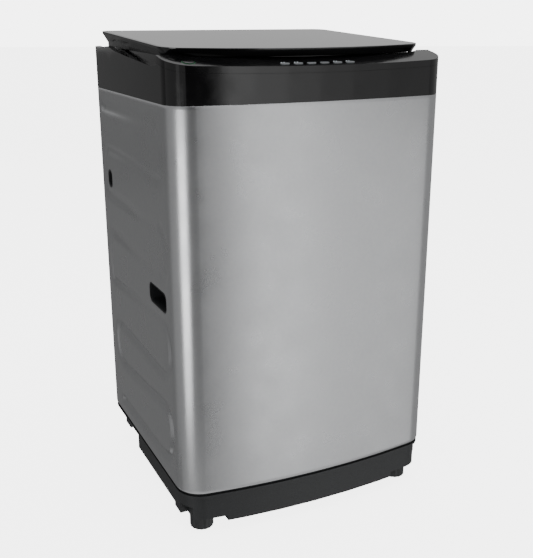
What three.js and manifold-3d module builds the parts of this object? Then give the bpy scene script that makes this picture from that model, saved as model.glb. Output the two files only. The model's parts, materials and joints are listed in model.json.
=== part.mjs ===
// A top load washing machine: a bowed sheet cabinet on a moulded base with four screw feet, a top cover with
// a sloping control panel and a wedge-shaped glass lid, and inside it the hung tub with its basket and drive.
// Millimetres, +Z up, the front faces -Y, the origin is on the floor under the middle of the body.
import * as THREE from "three";
import { mergeVertices } from "three/addons/utils/BufferGeometryUtils.js";
import Module from "manifold-3d";

// ---------------------------------------------------------------- driving dimensions
const WIDTH = 550; // outside of the sheet
const DEPTH = 505; // rear face to the middle of the bowed front
const BODY_HEIGHT = 727; // silver sheet only
const BASE_HEIGHT = 93; // floor to the bottom edge of the sheet
const FRONT_BOW = 24;
const FRONT_CORNER = 52;
const REAR_CORNER = 22;
const SHEET = 1;
const REAR_RETURN = 36; // width of the folded edge at the back

const GAP = 0.3; // between pieces that touch
const RUN = 0.3; // radial clearance of what turns or slides
const ARC = 3; // a curve of a shape is drawn in twice as many straight steps
const TUB_SEGMENTS = 32;

const BODY_TOP = BASE_HEIGHT + BODY_HEIGHT;
const FRONT_Y = -DEPTH / 2;
const REAR_Y = DEPTH / 2;

// the hung tub fills the cabinet, and the mouth, the lid and the drive follow from it
const TUB_SIDE_ROOM = 43; // for the tub's rim, the rods and their swing
const TUB_FRONT_ROOM = 20.5;
const TUB_Y = 2;
const TUB_RADIUS = Math.min(WIDTH / 2 - TUB_SIDE_ROOM, DEPTH / 2 - TUB_FRONT_ROOM);
const TUB_WATER_GAP = 17; // between the tub and the spinning basket
const BASKET_RADIUS = TUB_RADIUS - TUB_WATER_GAP;
const MOUTH_LEDGE = 37; // the cover's mouth is narrower than the basket
const MOUTH_RADIUS = BASKET_RADIUS - MOUTH_LEDGE;

// base and feet
const FOOT_RADIUS = 23.5;
const FOOT_HEIGHT = 34; // under the corner blocks
const FOOT_FLUTES = 16;
const FLUTE_DEPTH = 1.2;
const STUD_RADIUS = 5;
const STUD_LENGTH = 40;
const FRONT_FOOT = { inX: 49, inY: 63.5 }; // from the side and from the front
const REAR_FOOT = { inX: 77, inY: 80.5 }; // from the side and from the back
const FRONT_SKIRT_BOTTOM = 23;
const FRONT_SKIRT_HALF = WIDTH / 2 - 87; // it ends before the feet
const FRONT_SKIRT_THICK = 26;
const SKIRT_INSET = 6;
const SIDE_SKIRT_INSET = 10;
const SKIRT_WALL = 4;
const CORNER_BLOCK = { side: 65.5, end: 97.5, notchFrom: 26.5, notchIn: 15, notchZ: 59 }; // from the front
// The lower edge of the side skirts, from the front back: distances from the front and height over the floor.
const SKIRT_STEPS = [
  { from: CORNER_BLOCK.notchFrom, to: CORNER_BLOCK.side, z: CORNER_BLOCK.notchZ },
  { from: 353.5, to: 375.5, z: 66 },
  { from: 375.5, to: 412.5, z: 75 },
  { from: 412.5, to: 448.5, z: 55 },
];
const REAR_BLOCK_MARGIN = 8; // of the block round a rear foot
const REAR_ARM = { from: 414, to: 447, z: 55 }; // from the side skirt to the block
const RIM_DROP = 10; // underside of the rim below the sheet
const RIM_THICK = 5;
const GROOVE_INSET = 5;
const BASE_LIP = 22; // height of the lip inside the sheet
const BASE_FLANGE_INSET = 30;

// side grips and side holes
const GRIP = { y: FRONT_Y + 132.5, z: 460, width: 100, height: 40, radius: 14, depth: 28, wall: 2 };
const SIDE_HOLE = { y: REAR_Y - 79.5, z: 636, width: 31, height: 38, radius: 13, depth: 13, wall: 3 };
const INSERT_FLANGE = 6;

// top cover, control panel and lid
const COVER_WALL = 3;
const PANEL_SLOPE = 0.22; // rise per millimetre towards the back
const PANEL_FRONT_RISE = 60.5; // from the sheet's top edge to the panel's front edge
const PANEL_LIP = 11.5; // height of the panel's front lip
const PANEL_END = 87.5; // from the front to the panel's side ends
const DECK_RISE = 64; // deck round the mouth above the sheet
const DECK_THICK = 7;
const HINGE_DECK_RISE = 73;
const MOUTH_DEPTH = 84;
const LID_SIDE_IN = 13;
const LID = {
  halfWidth: WIDTH / 2 - LID_SIDE_IN,
  frontIn: 40.5,
  rearIn: 12.5,
  bow: 50,
  frontRadius: 45,
  rearRadius: 24,
};
const LID_TOP_RISE = 86.2; // lid's top plane over the front edge of the cabinet, above the sheet
const LID_TOP_SLOPE = 0.057;
const LID_UNDER_RISE = 74.8;
const LID_UNDER_SLOPE = 0.017;
const LID_LIP = 4;
const LID_CHAMFER = 0.6; // inset per millimetre down
const LID_SEAT = 1.5; // clearance over the collar
const LID_SIDE_CLEAR = 2; // between the lid's edge and the shoulders of the cover
const COLLAR_INSET = 18;
const COLLAR_WALL = 3;
const GLASS_THICK = 4;
const GLASS_BORDER = 7;
const LID_WEB = 2.7;
const LID_INNER_THICK = 2.5;
const LID_POCKET_INSET = 28;
const HINGE_EAR_IN = 26; // from the lid's edge to the ear
const HINGE = {
  y: REAR_Y - 20.5,
  z: BODY_TOP + 88,
  pin: 4,
  earWall: 2.5,
  earX: LID.halfWidth - HINGE_EAR_IN,
  earThick: 10,
  pinIn: 16,
};
const EAR_RADIUS = HINGE.pin + HINGE.earWall;

const BUTTON = { count: 6, pitch: 25.7, firstX: -70, y: FRONT_Y + 15.5, width: 18, height: 6.4, radius: 3.1 };
const POWER = { x: -WIDTH / 2 + 40, y: FRONT_Y + 39.5, radius: 10 };
const BUTTON_PROUD = 1.2;
const BUTTON_FLANGE = 1.2;
const BUTTON_STEM = 2; // under the panel's skin
const BOARD = { width: 300, depth: 34, thick: 1.6, drop: 7, y: FRONT_Y + 26.5 };

const DRAWER = { width: 130, height: 34, depth: 62, frontY: TUB_Y + MOUTH_RADIUS - 12, wall: 2, rise: 12 };
const HOUSING_WALL = 2.5;
const VALVE = { x: 150, z: BODY_TOP + 30, width: 50, height: 40, depth: 26, stub: 13, pocket: 18 };
const LOCK = { x: -150, y: REAR_Y - 47.5, width: 56, depth: 26, height: 24 };

// hung tub, basket and drive
const TUB_BOTTOM = 290;
const TUB_HEIGHT = BODY_TOP - TUB_BOTTOM - 75; // leaves room for the tub to rise under the deck
const TUB_WALL = 3;
const TUB_FLOOR = 5;
const HUB_HOLE = 40;
const TUB_COVER_MOUTH = MOUTH_RADIUS + 10;
const TUB_COVER_HEIGHT = 12;
const BASKET_WALL = 1.5;
const BASKET_BOTTOM = TUB_BOTTOM + 40;
const BASKET_TOP = TUB_BOTTOM + TUB_HEIGHT - 40;
const BASE_DISC = { z: 318, thick: 4, rim: 27, hole: 24 };
const BALANCE = { inner: BASKET_RADIUS - 41, height: 36 };
const FLANGE = { z: 303, radius: 110, thick: 14, boss: 30 };
const PULSATOR = {
  radius: BASKET_RADIUS - 50,
  z: 326,
  edge: 8,
  hub: 34,
  hubHeight: 34,
  ribs: 6,
  ribWidth: 12,
};
const FILTER = { inner: BASKET_RADIUS - 19, halfAngle: 0.2, z0: BASKET_BOTTOM + 150, z1: BASKET_TOP - 45 };
const WASH_SHAFT = { radius: 8, z0: 222, z1: 346 };
const SPIN_SHAFT = { radius: 15, z0: 230, z1: 316 };
const CLUTCH = { radius: 62, z0: 200, wall: 6, floor: 16, bearingZ: 262, shoulder: 6 };
const PLATE = { halfX: TUB_RADIUS - 27, halfY: 105, thick: 3 };
const BEARING_UPPER = { outer: 32, height: 17 };
const BEARING_LOWER = { outer: 26, height: 13 };
const PULLEY = { radius: 85, z: 160, height: 16, boss: 12, groove: 7 };
const MOTOR = { x: PLATE.halfX - 55, y: -70, radius: 60, z0: 192, shaft: 6, pulley: 24 };
const BELT_HEIGHT = 9;
const BELT_THICK = 5;
const DRAIN = {
  x: 65 - PLATE.halfX,
  y: 62,
  width: 62,
  depth: 52,
  height: 46,
  port: 16,
  spigot: 14,
  spigotLength: 24,
};
const ROD = {
  x: WIDTH / 2 - 39,
  frontY: FRONT_Y + 60.5,
  rearY: REAR_Y - 47.5,
  radius: 4,
  head: 12,
  headHeight: 12,
  cap: 17,
  capHeight: 7,
  foot: 205,
};
const EAR = { z: 300, thick: 16, halfWidth: 20, hole: 8 };
const SPRING = { radius: 12.5, wire: 2, turns: 5, steps: 6, sides: 2 };
const GUSSET = { drop: 26, thick: 2, inX: 70, inFront: 92, inRear: 78, hole: 6 };
const SERVICE = { z0: 150, z1: 390, halfX: 150, radius: 20, lap: 12 };

// ---------------------------------------------------------------- solids
const wasm = await Module();
wasm.setup();

const FAR = 2000;
const alongX = new THREE.Matrix4().makeBasis(
  new THREE.Vector3(0, 1, 0),
  new THREE.Vector3(0, 0, 1),
  new THREE.Vector3(1, 0, 0),
);
const alongY = new THREE.Matrix4().makeBasis(
  new THREE.Vector3(1, 0, 0),
  new THREE.Vector3(0, 0, 1),
  new THREE.Vector3(0, -1, 0),
);

function solidOf(geometry) {
  const bare = new THREE.BufferGeometry().setAttribute("position", geometry.getAttribute("position"));
  if (geometry.index) bare.setIndex(geometry.index);
  const merged = mergeVertices(bare, 1e-4);
  const mesh = new wasm.Mesh({
    numProp: 3,
    vertProperties: new Float32Array(merged.attributes.position.array),
    triVerts: new Uint32Array(merged.index.array),
  });
  return new wasm.Manifold(mesh);
}

function geometryOf(solid) {
  const mesh = solid.getMesh();
  const geometry = new THREE.BufferGeometry();
  geometry.setAttribute("position", new THREE.BufferAttribute(mesh.vertProperties, 3));
  geometry.setIndex(new THREE.BufferAttribute(mesh.triVerts, 1));
  geometry.computeVertexNormals();
  return geometry;
}

// A shape in the XY plane, from z0 up to z1.
function prism(shape, z0, z1, segments = ARC) {
  const geometry = new THREE.ExtrudeGeometry(shape, {
    depth: z1 - z0,
    bevelEnabled: false,
    curveSegments: segments,
  });
  return solidOf(geometry.translate(0, 0, z0));
}

// A shape drawn in Y and Z, from x0 to x1.
function prismX(shape, x0, x1, segments = ARC) {
  const geometry = new THREE.ExtrudeGeometry(shape, {
    depth: x1 - x0,
    bevelEnabled: false,
    curveSegments: segments,
  });
  return solidOf(geometry.applyMatrix4(alongX).translate(x0, 0, 0));
}

// A shape drawn in X and Z, from y0 to y1.
function prismY(shape, y0, y1, segments = ARC) {
  const geometry = new THREE.ExtrudeGeometry(shape, {
    depth: y1 - y0,
    bevelEnabled: false,
    curveSegments: segments,
  });
  return solidOf(geometry.applyMatrix4(alongY).translate(0, y1, 0));
}

function box(x0, x1, y0, y1, z0, z1) {
  const geometry = new THREE.BoxGeometry(x1 - x0, y1 - y0, z1 - z0);
  return solidOf(geometry.translate((x0 + x1) / 2, (y0 + y1) / 2, (z0 + z1) / 2));
}

// A turned piece about the vertical line through x, y. The profile's points are [radius, z].
function turned(profile, x = 0, y = 0, segments = 16) {
  const points = profile.map(([r, z]) => new THREE.Vector2(r, z));
  if (THREE.ShapeUtils.area(points) < 0) points.reverse();
  if (profile.every(([r]) => r > 0)) points.push(points[0].clone());
  const geometry = new THREE.LatheGeometry(points, segments);
  return solidOf(geometry.rotateX(Math.PI / 2).translate(x, y, 0));
}

const cylinder = (x, y, radius, z0, z1, segments = 16) =>
  turned([[0, z0], [radius, z0], [radius, z1], [0, z1]], x, y, segments);
const tube = (x, y, inner, outer, z0, z1, segments = 16) =>
  turned([[inner, z0], [outer, z0], [outer, z1], [inner, z1]], x, y, segments);

// The same outline as straight steps with no doubled points, which a bevel needs.
function pointShape(shape) {
  const points = shape.getPoints(ARC);
  return new THREE.Shape(points.filter((p, i) => p.distanceTo(points.at(i - 1)) > 0.01));
}

const polygon = (points) => new THREE.Shape(points.map(([a, b]) => new THREE.Vector2(a, b)));

function roundedRect(cx, cy, width, height, radius) {
  const a = width / 2;
  const b = height / 2;
  const r = Math.min(radius, a, b) * 0.999;
  const shape = new THREE.Shape();
  shape.moveTo(cx - a + r, cy - b);
  shape.lineTo(cx + a - r, cy - b);
  shape.absarc(cx + a - r, cy - b + r, r, -Math.PI / 2, 0);
  shape.lineTo(cx + a, cy + b - r);
  shape.absarc(cx + a - r, cy + b - r, r, 0, Math.PI / 2);
  shape.lineTo(cx - a + r, cy + b);
  shape.absarc(cx - a + r, cy + b - r, r, Math.PI / 2, Math.PI);
  shape.lineTo(cx - a, cy - b + r);
  shape.absarc(cx - a + r, cy - b + r, r, Math.PI, 1.5 * Math.PI);
  return shape;
}

// A plan with straight sides, a straight back and a front that bows out between two rounded corners. Every
// arc keeps its centre as the plan is inset, so walls have the same thickness all round.
function bowedPlan(size, inset) {
  const { halfWidth, frontY, rearY, bow, frontRadius, rearRadius } = size;
  const bowRadius = (halfWidth ** 2 + bow ** 2) / (2 * bow);
  const bowY = frontY + bowRadius;
  const cornerX = halfWidth - frontRadius;
  const cornerY = bowY - Math.sqrt((bowRadius - frontRadius) ** 2 - cornerX ** 2);
  const turn = Math.asin(cornerX / (bowRadius - frontRadius));
  const down = 1.5 * Math.PI;
  const side = halfWidth - inset;
  const back = rearY - inset;
  const r = Math.max(1, rearRadius - inset);
  const shape = new THREE.Shape();
  shape.moveTo(-side, back - r);
  shape.lineTo(-side, cornerY);
  shape.absarc(-cornerX, cornerY, frontRadius - inset, Math.PI, down - turn);
  shape.absarc(0, bowY, bowRadius - inset, down - turn, down + turn);
  shape.absarc(cornerX, cornerY, frontRadius - inset, down + turn, 2 * Math.PI);
  shape.lineTo(side, back - r);
  shape.absarc(side - r, back - r, r, 0, Math.PI / 2);
  shape.absarc(-side + r, back - r, r, Math.PI / 2, Math.PI);
  return shape;
}

const BODY_PLAN = {
  halfWidth: WIDTH / 2,
  frontY: FRONT_Y,
  rearY: REAR_Y,
  bow: FRONT_BOW,
  frontRadius: FRONT_CORNER,
  rearRadius: REAR_CORNER,
};
const LID_PLAN = { ...LID, frontY: FRONT_Y + LID.frontIn, rearY: REAR_Y - LID.rearIn };
const bodyPrism = (inset, z0, z1) => prism(bowedPlan(BODY_PLAN, inset), z0, z1);
function bodyRing(outer, inner, z0, z1) {
  return bodyPrism(outer, z0, z1).subtract(bodyPrism(inner, z0 - 1, z1 + 1));
}
const lidPrism = (inset, z0, z1) => prism(bowedPlan(LID_PLAN, inset), z0, z1);

// Everything above, or below, a line in the YZ plane that rises with a slope from the front.
const lineZ = (rise, slope) => (y) => BODY_TOP + rise + slope * (y - FRONT_Y);
const panelZ = lineZ(PANEL_FRONT_RISE, PANEL_SLOPE);
const lidTopZ = lineZ(LID_TOP_RISE, LID_TOP_SLOPE);
const lidUnderZ = lineZ(LID_UNDER_RISE, LID_UNDER_SLOPE);
function above(z, offset = 0) {
  const corners = [[-FAR, z(-FAR) + offset], [FAR, z(FAR) + offset], [FAR, 3 * FAR], [-FAR, 3 * FAR]];
  return prismX(polygon(corners), -FAR, FAR);
}
function below(z, offset = 0) {
  const corners = [[-FAR, -3 * FAR], [FAR, -3 * FAR], [FAR, z(FAR) + offset], [-FAR, z(-FAR) + offset]];
  return prismX(polygon(corners), -FAR, FAR);
}

// ---------------------------------------------------------------- materials
const finish = (color, roughness, metalness) => ({ color, roughness, metalness });
const FINISH = {
  silver: finish(0xb4b5b6, 0.38, 0.85),
  zinc: finish(0xa9adb0, 0.5, 0.9),
  black: finish(0x2e3031, 0.6, 0),
  gloss: finish(0x141516, 0.15, 0),
  glass: finish(0x3c3d3e, 0.05, 0),
  light: finish(0xd9dbda, 0.45, 0),
  lamp: finish(0xe2e6e8, 0.3, 0.4),
  stainless: finish(0xc9cbcc, 0.25, 1),
  steel: finish(0x9a9c9e, 0.35, 1),
  aluminium: finish(0xb9bbbd, 0.45, 0.9),
  rubber: finish(0x1c1c1c, 0.8, 0),
  green: finish(0x2d6b3c, 0.55, 0),
  blue: finish(0x3a6ea5, 0.5, 0),
};

const machine = new THREE.Group();
machine.name = "top_load_washing_machine";

function add(name, solid, look) {
  const mesh = new THREE.Mesh(geometryOf(solid), new THREE.MeshStandardMaterial(FINISH[look]));
  mesh.name = name;
  machine.add(mesh);
}

// ---------------------------------------------------------------- cabinet
const FEET = [
  { name: "foot_front_left", x: -WIDTH / 2 + FRONT_FOOT.inX, y: FRONT_Y + FRONT_FOOT.inY },
  { name: "foot_front_right", x: WIDTH / 2 - FRONT_FOOT.inX, y: FRONT_Y + FRONT_FOOT.inY },
  { name: "foot_rear_left", x: -WIDTH / 2 + REAR_FOOT.inX, y: REAR_Y - REAR_FOOT.inY },
  { name: "foot_rear_right", x: WIDTH / 2 - REAR_FOOT.inX, y: REAR_Y - REAR_FOOT.inY },
];
const RODS = [
  { name: "front_left", x: -ROD.x, y: ROD.frontY },
  { name: "front_right", x: ROD.x, y: ROD.frontY },
  { name: "rear_left", x: -ROD.x, y: ROD.rearY },
  { name: "rear_right", x: ROD.x, y: ROD.rearY },
];
const GUSSET_TOP = BODY_TOP - GUSSET.drop;

// The folded sheet, open at the back between its returns, with a plate welded into each upper corner.
function cabinetWrap() {
  const returnX = WIDTH / 2 - REAR_RETURN;
  let wrap = bodyRing(0, SHEET, BASE_HEIGHT, BODY_TOP);
  wrap = wrap.subtract(box(-returnX, returnX, 0, FAR, 0, FAR));
  const plates = bodyPrism(SHEET / 2, GUSSET_TOP - GUSSET.thick, GUSSET_TOP);
  for (const side of [-1, 1]) {
    const inner = side * (WIDTH / 2 - GUSSET.inX);
    const outer = side * WIDTH;
    const [x0, x1] = [Math.min(inner, outer), Math.max(inner, outer)];
    const front = box(x0, x1, -FAR, FRONT_Y + GUSSET.inFront, 0, FAR);
    const rear = box(x0, x1, REAR_Y - GUSSET.inRear, REAR_Y - 2 * SHEET - 2 * GAP - SHEET, 0, FAR);
    wrap = wrap.add(plates.intersect(front)).add(plates.intersect(rear));
  }
  for (const rod of RODS) wrap = wrap.subtract(cylinder(rod.x, rod.y, GUSSET.hole, BASE_HEIGHT, BODY_TOP, 8));
  for (const opening of [GRIP, SIDE_HOLE]) {
    const hole = roundedRect(opening.y, opening.z, opening.width, opening.height, opening.radius);
    wrap = wrap.subtract(prismX(hole, -FAR, FAR, 1));
  }
  return wrap;
}

const REAR_PANEL_Y = REAR_Y - SHEET - GAP; // rear face of the back panel
function rearPanel() {
  const half = WIDTH / 2 - SHEET - GAP - REAR_CORNER + SHEET;
  const middle = (SERVICE.z0 + SERVICE.z1) / 2;
  const opening = roundedRect(0, middle, 2 * SERVICE.halfX, SERVICE.z1 - SERVICE.z0, SERVICE.radius);
  const low = BASE_HEIGHT + BASE_LIP + GAP;
  const sheet = box(-half, half, REAR_PANEL_Y - SHEET, REAR_PANEL_Y, low, BODY_TOP);
  return sheet.subtract(prismY(opening, -FAR, FAR, 2));
}

function serviceCover() {
  const middle = (SERVICE.z0 + SERVICE.z1) / 2;
  const height = SERVICE.z1 - SERVICE.z0;
  const width = 2 * SERVICE.halfX;
  const plugDepth = 8;
  const plugWall = 2.5;
  const rect = (grow) => roundedRect(0, middle, width + 2 * grow, height + 2 * grow, SERVICE.radius);
  const lapRadius = SERVICE.radius + SERVICE.lap;
  const lap = roundedRect(0, middle, width + 2 * SERVICE.lap, height + 2 * SERVICE.lap, lapRadius);
  return prismY(lap, REAR_PANEL_Y + GAP, REAR_Y, 2)
    .add(prismY(rect(-GAP), REAR_PANEL_Y - plugDepth, REAR_PANEL_Y + GAP + 0.2, 2))
    .subtract(prismY(rect(-GAP - plugWall), REAR_PANEL_Y - plugDepth - 1, REAR_PANEL_Y - SHEET, 2));
}

// The moulded base: a rim and groove under the sheet, a lip inside it, skirts and the blocks over the feet.
function baseFrame() {
  const rimTop = BASE_HEIGHT - RIM_DROP + RIM_THICK;
  const rimBottom = BASE_HEIGHT - RIM_DROP;
  const top = BASE_HEIGHT + BASE_LIP;
  let base = bodyRing(SHEET, BASE_FLANGE_INSET, rimBottom, rimTop);
  base = base.add(bodyRing(GROOVE_INSET, GROOVE_INSET + 2 * SKIRT_WALL, rimTop - 1, BASE_HEIGHT));
  base = base.add(bodyRing(SHEET + GAP, SHEET + GAP + SKIRT_WALL + 1, BASE_HEIGHT, top));

  const skirt = bodyRing(SIDE_SKIRT_INSET, SIDE_SKIRT_INSET + SKIRT_WALL, FOOT_HEIGHT, rimBottom + 1);
  const corner = bodyPrism(SKIRT_INSET, FOOT_HEIGHT, rimBottom + 1);
  const front = bodyRing(SKIRT_INSET, SKIRT_INSET + FRONT_SKIRT_THICK, FRONT_SKIRT_BOTTOM, rimBottom + 1);
  const blockEnd = FRONT_Y + CORNER_BLOCK.end;
  const blockSide = FRONT_Y + CORNER_BLOCK.side;
  let sides = skirt.subtract(box(-FAR, FAR, -FAR, blockSide, 0, FAR));
  for (const { from, to, z } of SKIRT_STEPS) {
    sides = sides.subtract(box(-FAR, FAR, FRONT_Y + from, FRONT_Y + to, 0, z));
  }
  sides = sides.subtract(box(-FAR, FAR, FRONT_Y + SKIRT_STEPS.at(-1).to, FAR, 0, rimBottom));
  base = base.add(sides);
  base = base.add(front.intersect(box(-FRONT_SKIRT_HALF, FRONT_SKIRT_HALF, -FAR, 0, 0, FAR)));
  for (const side of [-1, 1]) {
    const inner = side * (FRONT_SKIRT_HALF - 1);
    const outer = side * WIDTH;
    const region = box(Math.min(inner, outer), Math.max(inner, outer), -FAR, blockEnd, 0, FAR);
    const notchX = side * (WIDTH / 2 - SKIRT_INSET - CORNER_BLOCK.notchIn);
    const [x0, x1] = [Math.min(notchX, outer), Math.max(notchX, outer)];
    const notch = box(x0, x1, FRONT_Y + CORNER_BLOCK.notchFrom, blockSide, 0, CORNER_BLOCK.notchZ);
    base = base.add(corner.intersect(region).subtract(notch));
  }
  for (const foot of FEET.slice(2)) {
    const reach = FOOT_RADIUS + REAR_BLOCK_MARGIN;
    const [left, right] = [foot.x - reach, foot.x + reach];
    const outer = Math.sign(foot.x) * (WIDTH / 2 - SIDE_SKIRT_INSET - 1);
    const [x0, x1] = [Math.min(foot.x, outer), Math.max(foot.x, outer)];
    const { from, to, z } = REAR_ARM;
    base = base.add(box(left, right, foot.y - reach, foot.y + reach, FOOT_HEIGHT, rimBottom + 1));
    base = base.add(box(x0, x1, FRONT_Y + from, FRONT_Y + to, z, rimBottom + 1));
    base = base.add(box(left, right, foot.y, REAR_Y - BASE_FLANGE_INSET + 1, rimBottom, rimTop));
  }
  for (const foot of FEET) base = base.subtract(cylinder(foot.x, foot.y, STUD_RADIUS + 2 * RUN, 0, FAR, 10));
  return base;
}

// A fluted pad under its threaded stud.
function foot({ x, y }) {
  const points = [];
  for (let i = 0; i < 2 * FOOT_FLUTES; i++) {
    const angle = (Math.PI * i) / FOOT_FLUTES;
    const radius = FOOT_RADIUS - (i % 2) * FLUTE_DEPTH;
    points.push([x + radius * Math.cos(angle), y + radius * Math.sin(angle)]);
  }
  const top = FOOT_HEIGHT - GAP;
  return prism(polygon(points), 0, top).add(cylinder(x, y, STUD_RADIUS, top - 1, top + STUD_LENGTH, 10));
}

// A moulded insert that fills an opening in a side wall, flush outside, with a flange behind the sheet.
function sideInsert(side, opening, open) {
  const { y, z, width, height, radius, depth, wall } = opening;
  const face = WIDTH / 2;
  const rect = (grow) => roundedRect(y, z, width + 2 * grow, height + 2 * grow, Math.max(1, radius + grow));
  const span = (shape, from, to) => {
    const [x0, x1] = side < 0 ? [-from, -to] : [to, from];
    return prismX(shape, x0, x1, 1);
  };
  let insert = span(rect(-GAP), face, face - depth);
  insert = insert.add(span(rect(INSERT_FLANGE), face - SHEET - GAP, face - SHEET - GAP - wall));
  return insert.subtract(span(rect(-GAP - wall), face + 1, open ? face - depth - 1 : face - depth + wall));
}

// ---------------------------------------------------------------- top cover, panel and lid
const PANEL_END_Y = FRONT_Y + PANEL_END;
const DECK_Z = BODY_TOP + DECK_RISE;
const DRAWER_Z = DECK_Z - DECK_THICK - DRAWER.rise - DRAWER.height;
const SKIN = 3; // thickness of the control panel
const COVER_BLANK_TOP = BODY_TOP + 100; // the cover is cut down from a blank of this height

// The upper edge of the cover's side walls, from the control panel's end to the back.
const SIDE_EDGE = [
  [PANEL_END_Y, BODY_TOP + 64],
  [FRONT_Y + 119, BODY_TOP + 60.5],
  [FRONT_Y + 336, BODY_TOP + 77],
  [FRONT_Y + 392, BODY_TOP + 86],
  [FRONT_Y + 458, BODY_TOP + 82],
  [REAR_Y + 1, BODY_TOP + 84],
];

function topCover() {
  const low = BODY_TOP + GAP;
  const seam = -PANEL_LIP - GAP;
  const edge = [[-FAR, panelZ(-FAR) + seam], [PANEL_END_Y, panelZ(PANEL_END_Y) + seam], ...SIDE_EDGE];
  const roof = prismX(polygon([...edge, [REAR_Y + 1, 2 * FAR], [-FAR, 2 * FAR]]), -FAR, FAR);
  const collarRoof = above(lidUnderZ, -LID_SEAT);
  let cover = bodyPrism(0, low, COVER_BLANK_TOP).subtract(roof).subtract(lidRoom());
  cover = cover.add(lidPrism(COLLAR_INSET, DECK_Z - 2 * DECK_THICK, COVER_BLANK_TOP).subtract(collarRoof));

  // Hollow from below: under the panel's shelf and under the deck.
  const shelfLine = (y) => panelZ(y) + seam - COVER_WALL;
  const inside = bodyPrism(COVER_WALL, 0, DECK_Z - DECK_THICK);
  const behind = box(-FAR, FAR, PANEL_END_Y - COVER_WALL, FAR, 0, FAR);
  cover = cover.subtract(inside.intersect(behind.add(lidPrism(COLLAR_INSET + COLLAR_WALL, 0, FAR))));
  cover = cover.subtract(inside.subtract(above(shelfLine)));
  // Inside the collar down to the deck, and the hinge deck across the back.
  cover = cover.subtract(lidPrism(COLLAR_INSET + COLLAR_WALL, DECK_Z, FAR));
  const hingeDeck = BODY_TOP + HINGE_DECK_RISE;
  const deckHalf = LID.halfWidth - 2;
  const deckFront = HINGE.y - 12;
  cover = cover.subtract(box(-deckHalf, deckHalf, deckFront, FAR, hingeDeck, FAR));
  cover = cover.add(box(-deckHalf, deckHalf, deckFront, deckFront + COVER_WALL, DECK_Z - 1, hingeDeck));

  // The mouth and its tube.
  const mouthLow = DECK_Z - MOUTH_DEPTH;
  const mouthOuter = MOUTH_RADIUS + COVER_WALL;
  cover = cover.add(tube(0, TUB_Y, MOUTH_RADIUS, mouthOuter, mouthLow, DECK_Z - 1, TUB_SEGMENTS));
  cover = cover.subtract(cylinder(0, TUB_Y, MOUTH_RADIUS, 0, FAR, TUB_SEGMENTS));

  // The way out for the drawer, the hinge ears and the pocket round the water inlet.
  const half = DRAWER.width / 2 + GAP + HOUSING_WALL + GAP;
  const low0 = DRAWER_Z - HOUSING_WALL - GAP - GAP;
  const high = DRAWER_Z + DRAWER.height + HOUSING_WALL + GAP + GAP;
  cover = cover.subtract(box(-half, half, TUB_Y, REAR_Y - 8, low0, high));
  for (const side of [-1, 1]) {
    const x0 = side < 0 ? -HINGE.earX - HINGE.earThick : HINGE.earX;
    cover = cover.add(hingeEar(x0, x0 + HINGE.earThick, hingeDeck - 1));
    const reach = HINGE.earThick - COVER_WALL;
    cover = cover.subtract(pinShape(side * HINGE.earX, side * (HINGE.earX + reach), HINGE.pin + GAP));
  }
  const [left, right] = [VALVE.x - VALVE.width / 2, VALVE.x + VALVE.width / 2];
  const [bottom, top] = [VALVE.z - VALVE.height / 2, VALVE.z + VALVE.height / 2];
  const pocketBack = REAR_Y - VALVE.pocket;
  const w = COVER_WALL;
  cover = cover.add(box(left - w, right + w, pocketBack - w, REAR_Y - 1, bottom - w, top + w));
  cover = cover.subtract(box(left, right, pocketBack, FAR, bottom, top));
  return cover.subtract(rodY(VALVE.x, VALVE.z, VALVE.stub + GAP, pocketBack - 10, pocketBack + 10));
}

// The space that the closed lid needs over the cover and the panel.
function lidRoom() {
  return lidPrism(-LID_SIDE_CLEAR, 0, FAR).intersect(above(lidUnderZ, -LID_SEAT));
}

function hingeEar(x0, x1, z0) {
  const shape = new THREE.Shape();
  shape.moveTo(HINGE.y - EAR_RADIUS, z0);
  shape.lineTo(HINGE.y + EAR_RADIUS, z0);
  shape.lineTo(HINGE.y + EAR_RADIUS, HINGE.z);
  shape.absarc(HINGE.y, HINGE.z, EAR_RADIUS, 0, Math.PI);
  return prismX(shape, x0, x1, 4);
}

// A cylinder along X on the lid's hinge line, between two values of x in any order.
function pinShape(xa, xb, radius) {
  const circle = new THREE.Shape().absarc(HINGE.y, HINGE.z, radius, 0, 2 * Math.PI);
  return prismX(circle, Math.min(xa, xb), Math.max(xa, xb), 8);
}

function rodY(x, z, radius, y0, y1, segments = 8) {
  return prismY(new THREE.Shape().absarc(x, z, radius, 0, 2 * Math.PI), y0, y1, segments);
}

const panelTilt = Math.atan(PANEL_SLOPE);
// Places a solid drawn flat about the origin on the panel's sloping face at x, y.
// Its z is counted from the face.
function onPanel(geometry, x, y) {
  return solidOf(geometry.rotateX(panelTilt).translate(x, y, panelZ(y)));
}
function panelPrism(shape, x, y, z0, z1, segments = 1) {
  const options = { depth: z1 - z0, bevelEnabled: false, curveSegments: segments };
  return onPanel(new THREE.ExtrudeGeometry(shape, options).translate(0, 0, z0), x, y);
}
const KEYS = [{ name: "power_button", x: POWER.x, y: POWER.y, shape: roundKey }];
for (let i = 0; i < BUTTON.count; i++) {
  const x = BUTTON.firstX + i * BUTTON.pitch;
  KEYS.push({ name: `program_button_${i + 1}`, x, y: BUTTON.y, shape: ovalKey });
}
function roundKey(grow) {
  const size = 2 * (POWER.radius + grow);
  return roundedRect(0, 0, size, size, size / 2);
}
function ovalKey(grow) {
  return roundedRect(0, 0, BUTTON.width + 2 * grow, BUTTON.height + 2 * grow, BUTTON.radius + grow);
}

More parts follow.
